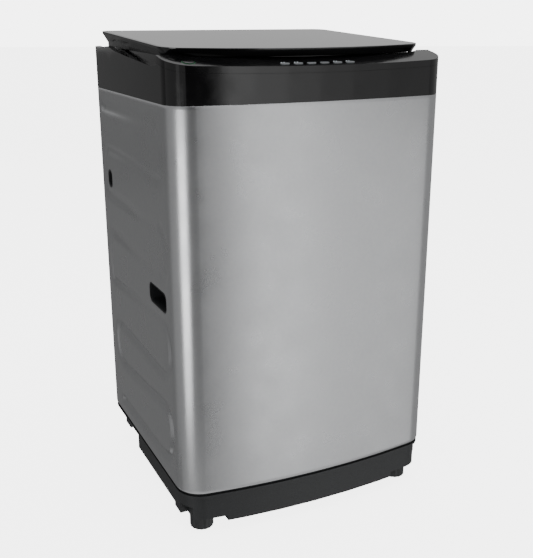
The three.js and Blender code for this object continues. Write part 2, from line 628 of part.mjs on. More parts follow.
// The sloping panel with its front lip and side ends, open below, bounded at the back by the lid's collar.
function controlPanel() {
  const zone = box(-FAR, FAR, -FAR, PANEL_END_Y - GAP, 0, FAR);
  const innerZone = box(-FAR, FAR, -FAR, PANEL_END_Y - GAP - SKIN, 0, FAR);
  let panel = bodyPrism(0, BODY_TOP, COVER_BLANK_TOP).intersect(zone);
  panel = panel.subtract(above(panelZ)).subtract(below(panelZ, -PANEL_LIP));
  panel = panel.subtract(lidPrism(COLLAR_INSET - GAP, 0, FAR)).subtract(lidRoom());
  let hollow = bodyPrism(SKIN, BODY_TOP, COVER_BLANK_TOP).intersect(innerZone);
  hollow = hollow.subtract(above(panelZ, -SKIN)).subtract(lidPrism(COLLAR_INSET - GAP - SKIN, 0, FAR));
  panel = panel.subtract(hollow);
  for (const key of KEYS) {
    panel = panel.subtract(panelPrism(key.shape(GAP), key.x, key.y, -SKIN - 2, 2));
  }
  return panel;
}

function key({ x, y, shape }) {
  const under = -SKIN - GAP;
  return panelPrism(shape(0), x, y, under - BUTTON_STEM, BUTTON_PROUD)
    .add(panelPrism(shape(BUTTON_FLANGE), x, y, under - BUTTON_FLANGE, under));
}

function controlBoard() {
  const shape = roundedRect(0, 0, BOARD.width, BOARD.depth, 2);
  return panelPrism(shape, 0, BOARD.y, -BOARD.drop - BOARD.thick, -BOARD.drop, 1);
}

// The lid is drawn flat with its top face at z = 0 and then tilted to the slope of its top plane.
const lidTilt = Math.atan(LID_TOP_SLOPE);
function tilted(geometry) {
  return solidOf(geometry.rotateX(lidTilt).translate(0, 0, lidTopZ(0)));
}
function lidSlab(inset, z0, z1) {
  const options = { depth: z1 - z0, bevelEnabled: false, curveSegments: ARC };
  return tilted(new THREE.ExtrudeGeometry(bowedPlan(LID_PLAN, inset), options).translate(0, 0, z0));
}
const LID_POCKET = { ...LID_PLAN, rearY: HINGE.y - 14 + LID_POCKET_INSET };
const pocketPrism = (inset) => prism(bowedPlan(LID_POCKET, LID_POCKET_INSET + inset), 0, FAR);

function lidFrame() {
  const reach = 32; // deeper than the lid is thick anywhere
  const options = {
    depth: 10,
    bevelThickness: reach,
    bevelSize: reach * LID_CHAMFER,
    bevelOffset: -reach * LID_CHAMFER,
    bevelSegments: 1,
    curveSegments: ARC,
  };
  const block = new THREE.ExtrudeGeometry(pointShape(bowedPlan(LID_PLAN, 0)), options);
  let frame = tilted(block.translate(0, 0, -LID_LIP));
  frame = frame.subtract(above(lidTopZ)).subtract(below(lidUnderZ));
  frame = frame.subtract(lidSlab(GLASS_BORDER, -GLASS_THICK - GAP, 20));
  const web = GLASS_THICK + GAP + LID_WEB;
  frame = frame.subtract(pocketPrism(0).subtract(above(lidTopZ, -web)));
  const clear = 2;
  for (const side of [-1, 1]) {
    const near = side * (HINGE.earX - clear);
    const far = side * (HINGE.earX + HINGE.earThick + clear);
    const [x0, x1] = [Math.min(near, far), Math.max(near, far)];
    const room = EAR_RADIUS + clear;
    frame = frame.subtract(box(x0, x1, HINGE.y - room, FAR, 0, HINGE.z + room));
    frame = frame.subtract(pinShape(near, near - side * (HINGE.pinIn + clear), HINGE.pin + RUN));
  }
  return frame;
}

const lidGlass = () => lidSlab(GLASS_BORDER + GAP, -GLASS_THICK, 0);

function lidInner() {
  return pocketPrism(GAP).subtract(below(lidUnderZ)).subtract(above(lidUnderZ, LID_INNER_THICK));
}

function hingePin(side) {
  const far = side * (HINGE.earX + HINGE.earThick - COVER_WALL - GAP);
  return pinShape(side * (HINGE.earX - HINGE.pinIn), far, HINGE.pin);
}

// ---------------------------------------------------------------- water inlet and drawer
function detergentDrawer() {
  const { width, height, depth, frontY, wall } = DRAWER;
  const outer = box(-width / 2, width / 2, frontY, frontY + depth, DRAWER_Z, DRAWER_Z + height);
  const x = width / 2 - wall;
  const inner = box(-x, x, frontY + 2 * wall, frontY + depth - wall, DRAWER_Z + wall, FAR);
  const fingers = box(-width / 5, width / 5, frontY - 1, frontY + wall, DRAWER_Z + height - 9, FAR);
  return outer.subtract(inner).subtract(fingers);
}

function drawerHousing() {
  const room = DRAWER.width / 2 + GAP;
  const mouth = TUB_Y + MOUTH_RADIUS + COVER_WALL + GAP;
  const back = DRAWER.frontY + DRAWER.depth + GAP;
  const top = DRAWER_Z + DRAWER.height + GAP;
  const w = HOUSING_WALL;
  const outer = box(-room - w, room + w, mouth, back + w, DRAWER_Z - GAP - w, top + w);
  return outer.subtract(box(-room, room, 0, back, DRAWER_Z - GAP, top));
}

// The inlet valve: a body with its threaded stub in the pocket of the top cover.
// Its nozzle leads to the drawer housing.
function inletValve() {
  const { x, z, width, height, depth, stub, pocket } = VALVE;
  const rear = REAR_Y - pocket - 3 - GAP;
  const body = box(x - width / 2, x + width / 2, rear - depth, rear, z - height / 2, z + height / 2);
  const nozzleX = DRAWER.width / 2 + GAP + HOUSING_WALL + GAP;
  const circle = new THREE.Shape().absarc(rear - depth / 2, z, 8, 0, 2 * Math.PI);
  return body.add(rodY(x, z, stub, rear - 1, REAR_Y - 2)).add(prismX(circle, nozzleX, x, 6));
}

function lidLock() {
  const z1 = DECK_Z - DECK_THICK - GAP;
  const half = LOCK.width / 2;
  return box(LOCK.x - half, LOCK.x + half, LOCK.y, LOCK.y + LOCK.depth, z1 - LOCK.height, z1);
}

// ---------------------------------------------------------------- hung tub
const TUB_TOP = TUB_BOTTOM + TUB_HEIGHT;

function outerTub() {
  const inner = TUB_RADIUS - TUB_WALL;
  const floor = TUB_BOTTOM + TUB_FLOOR;
  const profile = [
    [HUB_HOLE, TUB_BOTTOM],
    [TUB_RADIUS, TUB_BOTTOM],
    [TUB_RADIUS, TUB_TOP],
    [inner, TUB_TOP],
    [inner, floor],
    [HUB_HOLE, floor],
  ];
  let tub = turned(profile, 0, TUB_Y, TUB_SEGMENTS);
  const inside = cylinder(0, TUB_Y, inner + 1, 0, FAR, TUB_SEGMENTS);
  for (const rod of RODS) {
    const away = new THREE.Vector2(rod.x, rod.y - TUB_Y);
    const angle = away.angle();
    const reach = away.length();
    const shape = new THREE.Shape();
    shape.moveTo(0, -EAR.halfWidth);
    shape.absarc(reach, 0, EAR.halfWidth, -Math.PI / 2, Math.PI / 2);
    shape.lineTo(0, EAR.halfWidth);
    const options = { depth: EAR.thick, bevelEnabled: false, curveSegments: 3 };
    const arm = new THREE.ExtrudeGeometry(shape, options).rotateZ(angle).translate(0, TUB_Y, EAR.z);
    tub = tub.add(solidOf(arm).subtract(inside));
    tub = tub.subtract(cylinder(rod.x, rod.y, EAR.hole, EAR.z - 5, EAR.z + EAR.thick + 5, 12));
  }
  return tub.subtract(cylinder(DRAIN.x, DRAIN.y, DRAIN.port, 0, floor + 5, 16));
}

function tubCover() {
  const z = TUB_TOP + GAP;
  const lap = TUB_RADIUS + 4;
  const profile = [
    [TUB_COVER_MOUTH, z],
    [TUB_RADIUS + GAP, z],
    [TUB_RADIUS + GAP, z - 12],
    [lap, z - 12],
    [lap, z + 4],
    [TUB_COVER_MOUTH + 20, z + TUB_COVER_HEIGHT],
    [TUB_COVER_MOUTH, z + TUB_COVER_HEIGHT],
  ];
  return turned(profile, 0, TUB_Y, TUB_SEGMENTS);
}

const basketInner = BASKET_RADIUS - BASKET_WALL;
function basketBase() {
  const { z, thick, rim, hole } = BASE_DISC;
  const outer = basketInner - GAP;
  const rimInner = outer - 3;
  const profile = [
    [hole, z],
    [outer, z],
    [outer, z + rim],
    [rimInner, z + rim],
    [rimInner, z + thick],
    [hole, z + thick],
  ];
  return turned(profile, 0, TUB_Y, TUB_SEGMENTS);
}

function balanceRing() {
  const z = BASKET_TOP + GAP;
  const top = z + BALANCE.height - 8;
  const profile = [
    [BALANCE.inner, z - 8],
    [basketInner - GAP, z - 8],
    [basketInner - GAP, z],
    [BASKET_RADIUS, z],
    [BASKET_RADIUS, top - 6],
    [BASKET_RADIUS - 6, top],
    [BALANCE.inner + 8, top],
    [BALANCE.inner, top - 8],
  ];
  return turned(profile, 0, TUB_Y, TUB_SEGMENTS);
}

function driveFlange() {
  const { z, radius, thick, boss } = FLANGE;
  const bore = SPIN_SHAFT.radius + GAP;
  const profile = [
    [bore, z],
    [boss, z],
    [boss + 6, z + 6],
    [radius, z + 8],
    [radius, z + thick],
    [bore, z + thick],
  ];
  return turned(profile, 0, TUB_Y, 24);
}

function pulsator() {
  const { radius, z, edge, hub, hubHeight, ribs, ribWidth } = PULSATOR;
  const profile = [
    [0, z],
    [radius, z],
    [radius, z + edge],
    [hub + 20, z + edge + 4],
    [hub, z + hubHeight - 6],
    [hub - 8, z + hubHeight],
    [0, z + hubHeight],
  ];
  let disc = turned(profile, 0, TUB_Y, 24);
  const [ribIn, ribOut] = [hub - 4, radius - 6];
  const slope = polygon([
    [ribIn, z + 2],
    [ribOut, z + 2],
    [ribOut, z + edge + 8],
    [ribIn, z + hubHeight - 4],
  ]);
  const options = { depth: ribWidth, bevelEnabled: false };
  for (let i = 0; i < ribs; i++) {
    const rib = new THREE.ExtrudeGeometry(slope, options).rotateX(Math.PI / 2).translate(0, ribWidth / 2, 0);
    disc = disc.add(solidOf(rib.rotateZ((2 * Math.PI * i) / ribs).translate(0, TUB_Y, 0)));
  }
  const bore = WASH_SHAFT.radius + GAP;
  return disc.subtract(cylinder(0, TUB_Y, bore, z - 1, WASH_SHAFT.z1 + GAP, 16));
}

function lintFilter() {
  const { inner, halfAngle, z0, z1 } = FILTER;
  const outer = basketInner - GAP;
  const middle = Math.PI / 2;
  const shape = new THREE.Shape();
  shape.absarc(0, TUB_Y, outer, middle - halfAngle, middle + halfAngle);
  shape.absarc(0, TUB_Y, inner, middle + halfAngle, middle - halfAngle, true);
  // The basket is faceted, so the filter is trimmed to lie inside its facets.
  return prism(shape, z0, z1, 3).intersect(cylinder(0, TUB_Y, outer, z0 - 1, z1 + 1, TUB_SEGMENTS));
}

function clutchHousing() {
  const { radius, z0, wall, floor, bearingZ, shoulder } = CLUTCH;
  const top = TUB_BOTTOM - GAP - PLATE.thick - GAP;
  const lowerBore = BEARING_LOWER.outer + GAP;
  const upperBore = BEARING_UPPER.outer + GAP;
  const profile = [
    [lowerBore, z0],
    [radius, z0],
    [radius, top],
    [SPIN_SHAFT.radius + 4, top],
    [SPIN_SHAFT.radius + 4, top - shoulder],
    [upperBore, top - shoulder],
    [upperBore, bearingZ],
    [radius - wall, bearingZ - 8],
    [radius - wall, z0 + floor],
    [lowerBore, z0 + floor],
  ];
  return turned(profile, 0, TUB_Y, 24);
}

function mountingPlate() {
  const top = TUB_BOTTOM - GAP;
  const shape = roundedRect(0, TUB_Y, 2 * PLATE.halfX, 2 * PLATE.halfY, 20);
  let plate = prism(shape, top - PLATE.thick, top, 2);
  plate = plate.subtract(cylinder(0, TUB_Y, HUB_HOLE - 8, 0, FAR, 24));
  return plate.subtract(cylinder(DRAIN.x, DRAIN.y, DRAIN.port + 30, 0, FAR, 16));
}

// A pulley with a V groove, at x, y.
function vPulley(x, y, radius, boss, bossTop, segments) {
  const { z, height, groove } = PULLEY;
  const middle = z + height / 2;
  const profile = [
    [0, z],
    [radius, z],
    [radius, z + 2],
    [radius - groove, middle - BELT_HEIGHT / 2 + 1],
    [radius - groove, middle + BELT_HEIGHT / 2 - 1],
    [radius, z + height - 2],
    [radius, z + height],
    [boss, z + height],
    [boss, bossTop],
    [0, bossTop],
  ];
  return turned(profile, x, y, segments);
}

// The belt lies on both pulleys: two arcs and their common tangents, extruded.
function driveBelt() {
  const centre = new THREE.Vector2(0, TUB_Y);
  const motor = new THREE.Vector2(MOTOR.x, MOTOR.y);
  const span = motor.clone().sub(centre);
  const heading = span.angle();
  const loop = (grow) => {
    const big = PULLEY.radius - BELT_THICK + grow;
    const small = MOTOR.pulley - BELT_THICK + grow;
    const lean = Math.acos((big - small) / span.length());
    const shape = new THREE.Shape();
    shape.absarc(centre.x, centre.y, big, heading + lean, heading - lean + 2 * Math.PI);
    shape.absarc(motor.x, motor.y, small, heading - lean, heading + lean);
    return shape;
  };
  const middle = PULLEY.z + PULLEY.height / 2;
  const [z0, z1] = [middle - BELT_HEIGHT / 2 + 1.5, middle + BELT_HEIGHT / 2 - 1.5];
  const slack = 3.5; // so that the faceted belt stays clear of the flanks of both grooves
  return prism(loop(slack + 2), z0, z1, 6).subtract(prism(loop(slack), z0 - 1, z1 + 1, 6));
}

function motor() {
  const { x, y, radius, z0, shaft } = MOTOR;
  const top = TUB_BOTTOM - GAP - PLATE.thick - GAP;
  const profile = [
    [0, z0 + 6],
    [radius * 0.5, z0],
    [radius, z0 + 8],
    [radius, top - 4],
    [radius - 4, top],
    [0, top],
  ];
  return turned(profile, x, y, 20).subtract(cylinder(x, y, shaft + RUN, z0 - 1, z0 + 26, 12));
}

function drainValve() {
  const { x, y, width, depth, height, port, spigot, spigotLength } = DRAIN;
  const top = TUB_BOTTOM - GAP;
  const body = box(x - width / 2, x + width / 2, y - depth / 2, y + depth / 2, top - height, top);
  return body
    .add(cylinder(x, y, spigot, top - height - spigotLength, top - height + 1, 16))
    .subtract(cylinder(x, y, port - 4, top - height + 8, top + 1, 16));
}

// ---------------------------------------------------------------- suspension
function suspensionRod({ x, y }) {
  const seat = GUSSET_TOP + GAP;
  return turned(
    [
      [0, ROD.foot],
      [ROD.cap, ROD.foot],
      [ROD.cap, ROD.foot + ROD.capHeight],
      [ROD.radius, ROD.foot + ROD.capHeight],
      [ROD.radius, seat],
      [ROD.head, seat],
      [ROD.head, seat + ROD.headHeight / 2],
      [ROD.radius, seat + ROD.headHeight],
      [0, seat + ROD.headHeight],
    ],
    x,
    y,
    12,
  );
}

// A coil between the rod's cap and the tub's ear, closed by a flat turn at each end.
class Coil extends THREE.Curve {
  constructor(x, y, z0, z1) {
    super();
    Object.assign(this, { x, y, z0, z1 });
  }
  getPoint(t, target = new THREE.Vector3()) {
    const angle = 2 * Math.PI * SPRING.turns * t;
    const z = this.z0 + (this.z1 - this.z0) * t;
    return target.set(this.x + SPRING.radius * Math.cos(angle), this.y + SPRING.radius * Math.sin(angle), z);
  }
}

function suspensionSpring({ x, y }) {
  const z0 = ROD.foot + ROD.capHeight + SPRING.wire + 1;
  const z1 = EAR.z - SPRING.wire - 1;
  const section = new THREE.Shape().absarc(0, 0, SPRING.wire, 0, 2 * Math.PI);
  const geometry = new THREE.ExtrudeGeometry(section, {
    steps: SPRING.turns * SPRING.steps,
    curveSegments: SPRING.sides,
    extrudePath: new Coil(x, y, z0, z1),
  });
  return solidOf(geometry);
}

// ---------------------------------------------------------------- the assembly
add("cabinet_wrap", cabinetWrap(), "silver");
add("rear_panel", rearPanel(), "zinc");
add("rear_service_cover", serviceCover(), "black");
add("base_frame", baseFrame(), "black");
for (const place of FEET) add(place.name, foot(place), "black");
for (const [word, side] of [["left", -1], ["right", 1]]) {
  add(`grip_cup_${word}`, sideInsert(side, GRIP, false), "black");
  add(`side_bush_${word}`, sideInsert(side, SIDE_HOLE, true), "black");
  add(`hinge_pin_${word}`, hingePin(side), "steel");
}
add("top_cover", topCover(), "gloss");
add("control_panel", controlPanel(), "gloss");
add("control_board", controlBoard(), "green");
for (const place of KEYS) add(place.name, key(place), "lamp");
add("lid_frame", lidFrame(), "gloss");
add("lid_glass", lidGlass(), "glass");
add("lid_inner", lidInner(), "light");
add("lid_lock", lidLock(), "light");
add("detergent_drawer", detergentDrawer(), "light");
add("drawer_housing", drawerHousing(), "light");
add("inlet_valve", inletValve(), "light");

add("outer_tub", outerTub(), "light");
add("tub_cover", tubCover(), "light");
const basketWall = tube(0, TUB_Y, basketInner, BASKET_RADIUS, BASKET_BOTTOM, BASKET_TOP, TUB_SEGMENTS);
add("basket", basketWall, "stainless");
add("basket_base", basketBase(), "light");
add("balance_ring", balanceRing(), "light");
add("drive_flange", driveFlange(), "aluminium");
add("lint_filter", lintFilter(), "blue");
add("pulsator", pulsator(), "light");
add("wash_shaft", cylinder(0, TUB_Y, WASH_SHAFT.radius, WASH_SHAFT.z0, WASH_SHAFT.z1, 16), "steel");
const spinBore = WASH_SHAFT.radius + RUN;
add("spin_shaft", tube(0, TUB_Y, spinBore, SPIN_SHAFT.radius, SPIN_SHAFT.z0, SPIN_SHAFT.z1), "steel");
const sealTop = TUB_BOTTOM + TUB_FLOOR + 4;
add("shaft_seal", tube(0, TUB_Y, SPIN_SHAFT.radius + RUN, HUB_HOLE - GAP, TUB_BOTTOM, sealTop), "rubber");
add("clutch_housing", clutchHousing(), "aluminium");
const upperZ = CLUTCH.bearingZ + GAP;
const upperBore = SPIN_SHAFT.radius + RUN;
const upperTop = upperZ + BEARING_UPPER.height;
add("bearing_upper", tube(0, TUB_Y, upperBore, BEARING_UPPER.outer, upperZ, upperTop), "steel");
const lowerZ = CLUTCH.z0 + 1;
const lowerTop = lowerZ + BEARING_LOWER.height;
add("bearing_lower", tube(0, TUB_Y, PULLEY.boss + RUN, BEARING_LOWER.outer, lowerZ, lowerTop), "steel");
add("mounting_plate", mountingPlate(), "zinc");
add("drive_pulley", vPulley(0, TUB_Y, PULLEY.radius, PULLEY.boss, WASH_SHAFT.z0 - 4, 24), "aluminium");
add("motor_pulley", vPulley(MOTOR.x, MOTOR.y, MOTOR.pulley, MOTOR.shaft, MOTOR.z0 + 22, 12), "aluminium");
add("drive_belt", driveBelt(), "rubber");
add("motor", motor(), "aluminium");
add("drain_valve", drainValve(), "light");
for (const rod of RODS) {
  add(`suspension_rod_${rod.name}`, suspensionRod(rod), "steel");
  add(`suspension_spring_${rod.name}`, suspensionSpring(rod), "steel");
}

export default machine;
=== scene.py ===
# %% [markdown]
# # A top load washing machine
# The machine is a bowed steel cabinet on a black moulded base. A gloss black cover closes it on top, with
# a sloping control panel in front and a glass lid over the mouth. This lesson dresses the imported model:
# the big parts are copied and given soft edges, the sheet is drawn again with its pressed relief, and every
# finish is a node material.

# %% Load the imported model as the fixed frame
import json
import math

import bpy
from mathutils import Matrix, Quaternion, Vector


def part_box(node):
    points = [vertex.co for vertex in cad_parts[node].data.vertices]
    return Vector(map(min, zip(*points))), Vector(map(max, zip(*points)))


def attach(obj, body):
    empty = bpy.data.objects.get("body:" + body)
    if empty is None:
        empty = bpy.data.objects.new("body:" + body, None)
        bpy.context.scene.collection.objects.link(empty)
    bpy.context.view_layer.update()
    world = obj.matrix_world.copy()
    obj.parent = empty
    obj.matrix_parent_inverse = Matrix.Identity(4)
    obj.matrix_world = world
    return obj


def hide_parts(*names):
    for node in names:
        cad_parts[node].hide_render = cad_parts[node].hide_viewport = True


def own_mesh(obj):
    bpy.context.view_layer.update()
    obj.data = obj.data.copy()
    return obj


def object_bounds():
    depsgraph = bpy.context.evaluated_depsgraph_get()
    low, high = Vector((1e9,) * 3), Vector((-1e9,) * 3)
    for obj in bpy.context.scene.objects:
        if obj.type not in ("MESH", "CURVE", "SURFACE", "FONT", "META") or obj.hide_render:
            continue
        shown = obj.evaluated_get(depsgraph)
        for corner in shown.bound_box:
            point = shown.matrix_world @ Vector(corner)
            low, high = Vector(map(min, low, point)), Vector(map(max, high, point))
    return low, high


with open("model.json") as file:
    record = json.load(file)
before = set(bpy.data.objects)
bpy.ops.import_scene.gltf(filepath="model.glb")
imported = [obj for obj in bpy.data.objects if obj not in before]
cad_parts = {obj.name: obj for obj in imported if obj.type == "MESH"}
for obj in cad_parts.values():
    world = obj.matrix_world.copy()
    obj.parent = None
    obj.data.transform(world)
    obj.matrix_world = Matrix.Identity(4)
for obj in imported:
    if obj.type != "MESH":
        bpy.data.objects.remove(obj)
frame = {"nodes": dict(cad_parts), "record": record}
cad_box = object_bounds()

MM = 0.001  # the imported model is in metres, the sizes below are in millimetres
nodes = frame["nodes"]
low, high = cad_box
print("frame", len(nodes), "nodes,", [round((b - a) / MM) for a, b in zip(low, high)], "mm")

# %% [markdown]
# A camera comes first. It stands left of the front, a
# little higher than the lid, and looks down, so that three faces are seen with little perspective.

# %% Camera
CAMERA_PLACE = (-721.05, -1533.9, 956.9)
CAMERA_YAW = math.radians(25.394)
CAMERA_PITCH = math.radians(-17.433)
CAMERA_ROLL = math.radians(-0.115)

lens = bpy.data.cameras.new("studio_camera")
lens.lens = 53.455
lens.sensor_width = 36.0
lens.clip_end = 30.0
camera = bpy.data.objects.new("studio_camera", lens)
bpy.context.scene.collection.objects.link(camera)
camera.location = Vector(CAMERA_PLACE) * MM
forward = Vector((
    math.sin(CAMERA_YAW) * math.cos(CAMERA_PITCH),
    math.cos(CAMERA_YAW) * math.cos(CAMERA_PITCH),
    math.sin(CAMERA_PITCH),
))
camera.rotation_mode = "QUATERNION"
camera.rotation_quaternion = forward.to_track_quat("-Z", "Y") @ Quaternion((0, 0, 1), CAMERA_ROLL)
bpy.context.scene.camera = camera
print("camera", tuple(round(v, 3) for v in camera.location), "m, lens", lens.lens, "mm")

# %% [markdown]
# Materials start with three small tools. One turns a hex colour into the linear one that Blender works
# in. One adds a node with its settings and links. One starts a material on the Principled surface, with
# the plain numbers set straight on its sockets. Patterns read Object coordinates, which are metres here,
# so a grain of 0.8 mm is a noise scale of 1000 / 0.8.

# %% Material tools
PER_METRE = 1000.0


def linear(code):
    """sRGB hex, such as b4b6b8, as a linear RGBA colour."""
    parts = [int(code[i:i + 2], 16) / 255 for i in (0, 2, 4)]
    return [c / 12.92 if c <= 0.04045 else ((c + 0.055) / 1.055) ** 2.4 for c in parts] + [1.0]


def add_node(tree, kind, settings=(), links=()):
    """One shader node. Settings are sockets or attributes, and links are sockets with their sources."""
    made = tree.nodes.new("ShaderNode" + kind)
    for key, value in dict(settings).items():
        if isinstance(key, str) and hasattr(made, key):
            setattr(made, key, value)
    for key, value in dict(settings).items():
        if not isinstance(key, str) or not hasattr(made, key):
            made.inputs[key].default_value = value
    for key, source in dict(links).items():
        tree.links.new(source, made.inputs[key])
    return made


def new_material(name, colour, roughness, metallic=0.0, **plain):
    """A material with a Principled surface; plain holds other sockets by name, with _ for a space."""
    material = bpy.data.materials.new(name)
    material.use_nodes = True
    surface = material.node_tree.nodes["Principled BSDF"]
    surface.inputs["Base Color"].default_value = linear(colour)
    surface.inputs["Roughness"].default_value = roughness
    surface.inputs["Metallic"].default_value = metallic
    for key, value in plain.items():
        surface.inputs[key.replace("_", " ")].default_value = value
    return material, material.node_tree, surface


def place_on(tree, stretch=(1, 1, 1)):
    """Object coordinates in metres, stretched."""
    where = add_node(tree, "TexCoord").outputs["Object"]
    return add_node(tree, "Mapping", {"Scale": stretch}, {"Vector": where}).outputs[0]


def grain(tree, where, size_mm, detail=2.0):
    """Noise whose lumps are about size_mm across."""
    settings = {"Scale": PER_METRE / size_mm, "Detail": detail}
    return add_node(tree, "TexNoise", settings, {"Vector": where}).outputs[0]


def spread(tree, value, lowest, highest, start=0.35, end=0.65):
    """Maps a noise value to the range lowest..highest."""
    settings = {"From Min": start, "From Max": end, "To Min": lowest, "To Max": highest}
    return add_node(tree, "MapRange", settings, {"Value": value}).outputs[0]


def vary_colour(tree, surface, factor, light, dark):
    """Mixes two hex colours by a factor into the base colour."""
    mixed = add_node(tree, "Mix", {"data_type": "RGBA", 6: linear(light), 7: linear(dark)}, {0: factor})
    tree.links.new(mixed.outputs[2], surface.inputs["Base Color"])


def relief(tree, surface, height, depth_mm, strength=1.0):
    """Bump from a height of 0..1 that stands depth_mm tall."""
    settings = {"Strength": strength, "Distance": depth_mm * MM}
    bumped = add_node(tree, "Bump", settings, {"Height": height})
    tree.links.new(bumped.outputs[0], surface.inputs["Normal"])


print("material tools ready")

# %% [markdown]
# A dark gloss body and a satin metal one show their shape only by what they mirror. So the studio is set
# round the mirror directions: a bright panel and a softer one beside it fill the bowed front, a strip
# draws the light line on the rounded corner, dark cards keep the turn of the corner and the left side
# deep, and a panel behind lights the lid. The floor is plain and pale. The camera sees neither panels nor
# cards. The panels light the machine, and the cards only show in its reflections.

# %% Studio
STAGE_HALF, FLOOR_DROP = 40.0, 0.0005  # half of the floor's side, and how far it lies under the feet
AIM = Vector((-0.2, -0.25, 0.5))  # the rounded corner, which mirrors most of the studio


def stand(azimuth, distance, middle):
    """A point round the corner of the machine: azimuth 0 is straight in front, positive to the right."""
    turn = math.radians(azimuth)
    return AIM + Vector((math.sin(turn) * distance, -math.cos(turn) * distance, middle - AIM.z))


def soft_panel(name, azimuth, distance, middle, width, height, glow, target=None):
    """A soft light that faces the machine. Glow is how bright its face looks, where 1 is paper white."""
    data = bpy.data.lights.new(name, "AREA")
    data.shape = "RECTANGLE"
    data.size = width
    data.size_y = height
    data.energy = glow * math.pi * width * height
    light = bpy.data.objects.new(name, data)
    bpy.context.scene.collection.objects.link(light)
    place = stand(azimuth, distance, middle)
    aim = target if target else Vector((AIM.x, AIM.y, middle))
    light.location = place
    light.rotation_mode = "QUATERNION"
    light.rotation_quaternion = (aim - place).to_track_quat("-Z", "Y")
    light.visible_camera = False


def card(name, azimuth, distance, middle, width, height, glow):
    """A card that is seen only in reflections and throws no shadow. Its glow is its own even light."""
    bpy.ops.object.select_all(action="DESELECT")
    place = stand(azimuth, distance, middle)
    facing = (Vector((AIM.x, AIM.y, middle)) - place).to_track_quat("Z", "Y").to_euler()
    bpy.ops.mesh.primitive_plane_add(size=1, location=place, rotation=facing)
    made = bpy.context.active_object
    made.name = name
    made.scale = (width, height, 1)
    paper, _, surface = new_material(name + "_paper", "000000", 1.0, Emission_Strength=glow)
    surface.inputs["Emission Color"].default_value = linear("ffffff")
    paper.cycles.emission_sampling = "NONE"
    made.data.materials.append(paper)
    made.visible_camera = False
    made.visible_shadow = False
    made.visible_diffuse = False


bpy.ops.object.select_all(action="DESELECT")
bpy.ops.mesh.primitive_plane_add(size=2 * STAGE_HALF, location=(0, 0, -FLOOR_DROP))
floor = bpy.context.active_object
floor.name = "studio_floor"
floor.visible_glossy = False
floor.visible_diffuse = False
floor_paper, tree, surface = new_material("paper_backdrop", "f4f4f3", 0.8, IOR=1.4, Emission_Strength=4.4)
surface.inputs["Emission Color"].default_value = linear("ffffff")
vary_colour(tree, surface, spread(tree, grain(tree, place_on(tree), 8.0), 0.0, 1.0), "f5f5f4", "f2f2f1")
floor_paper.cycles.emission_sampling = "NONE"
floor.data.materials.append(floor_paper)

FRONT_GLOWS = [(13, 8, 1.45), (21, 8, 1.15), (29, 8, 0.8), (37, 8, 0.5), (45.5, 9, 0.32), (56, 12, 0.2)]
FRONT_DISTANCE = 2.2
for azimuth, spread_by, glow in FRONT_GLOWS:
    wide = 2 * FRONT_DISTANCE * math.tan(math.radians(spread_by / 2))
    soft_panel(f"front_high_{azimuth}", azimuth, FRONT_DISTANCE, 1.35, wide, 1.6, glow)
soft_panel("front_low_bright", 21, 2.2, -0.4, 0.75, 1.9, 1.3)
soft_panel("front_low_soft", 47, 2.3, -0.4, 1.4, 1.9, 0.75)
soft_panel("corner_strip_low", -62, 2.2, -0.1, 1.15, 1.3, 4.6)
soft_panel("corner_strip_high", -66, 2.2, 1.4, 0.5, 1.7, 0.35)
soft_panel("behind", 155, 4.2, 2.1, 7.5, 2.8, 0.14, Vector((0, 0, 0.9)))
soft_panel("above", 90, 0.4, 3.2, 2.6, 2.6, 2.6, Vector((0, 0, 0.9)))
soft_panel("below", 0, 0.0, -0.8, 2.0, 2.0, 0.45, Vector((-0.2, -0.2, 1.0)))
card("front_card_high", -13, 2.4, 1.35, 2.1, 1.6, 0.015)
card("front_card_low", -13, 2.4, -0.25, 2.1, 1.6, 0.22)
card("side_card_high", -160, 1.8, 0.6, 2.6, 0.5, 0.17)
card("side_card_low", -160, 1.8, -0.6, 2.6, 1.9, 0.2)
card("side_card_deep", -160, 1.5, -2.0, 3.6, 2.0, 0.03)

world = bpy.data.worlds.new("studio_surround")
bpy.context.scene.world = world
world.use_nodes = True
world.cycles.sampling_method = "NONE"
sky = world.node_tree
path = add_node(sky, "LightPath")
SURROUND, BACKDROP = 0.4, 5.5  # what the machine mirrors, and the white behind it
glow = spread(sky, path.outputs["Is Camera Ray"], SURROUND, BACKDROP, 0.0, 1.0)
sky.nodes["Background"].inputs["Color"].default_value = linear("ffffff")
sky.links.new(glow, sky.nodes["Background"].inputs["Strength"])

# %% [markdown]
# The cabinet is pre-coated sheet: steel with a clear lacquer over aluminium flake. It was rolled on, so it
# has no brush marks, only a very fine orange peel and flake that makes each spot a little lighter or
# darker. The flake is drawn as a faint mottle of 7 mm, much larger than it is. The sheet mirrors softly,
# as a wide satin gradient.

# %% Coated steel
coated_steel, tree, surface = new_material("coated_steel_silver", "b9babb", 0.3, 0.92)
where = place_on(tree)
flake = grain(tree, where, 7.0)
vary_colour(tree, surface, spread(tree, flake, 0.0, 1.0), "babbbc", "b7b8ba")
tree.links.new(spread(tree, grain(tree, where, 60.0), 0.27, 0.32), surface.inputs["Roughness"])
relief(tree, surface, grain(tree, where, 30.0, 1.0), 0.03, 0.15)

# %% [markdown]
# The back is galvanised sheet. Zinc freezes in flat crystals of about a centimetre, called spangle, and
# each crystal mirrors at its own brightness. A Voronoi cell colour gives exactly that patchwork.

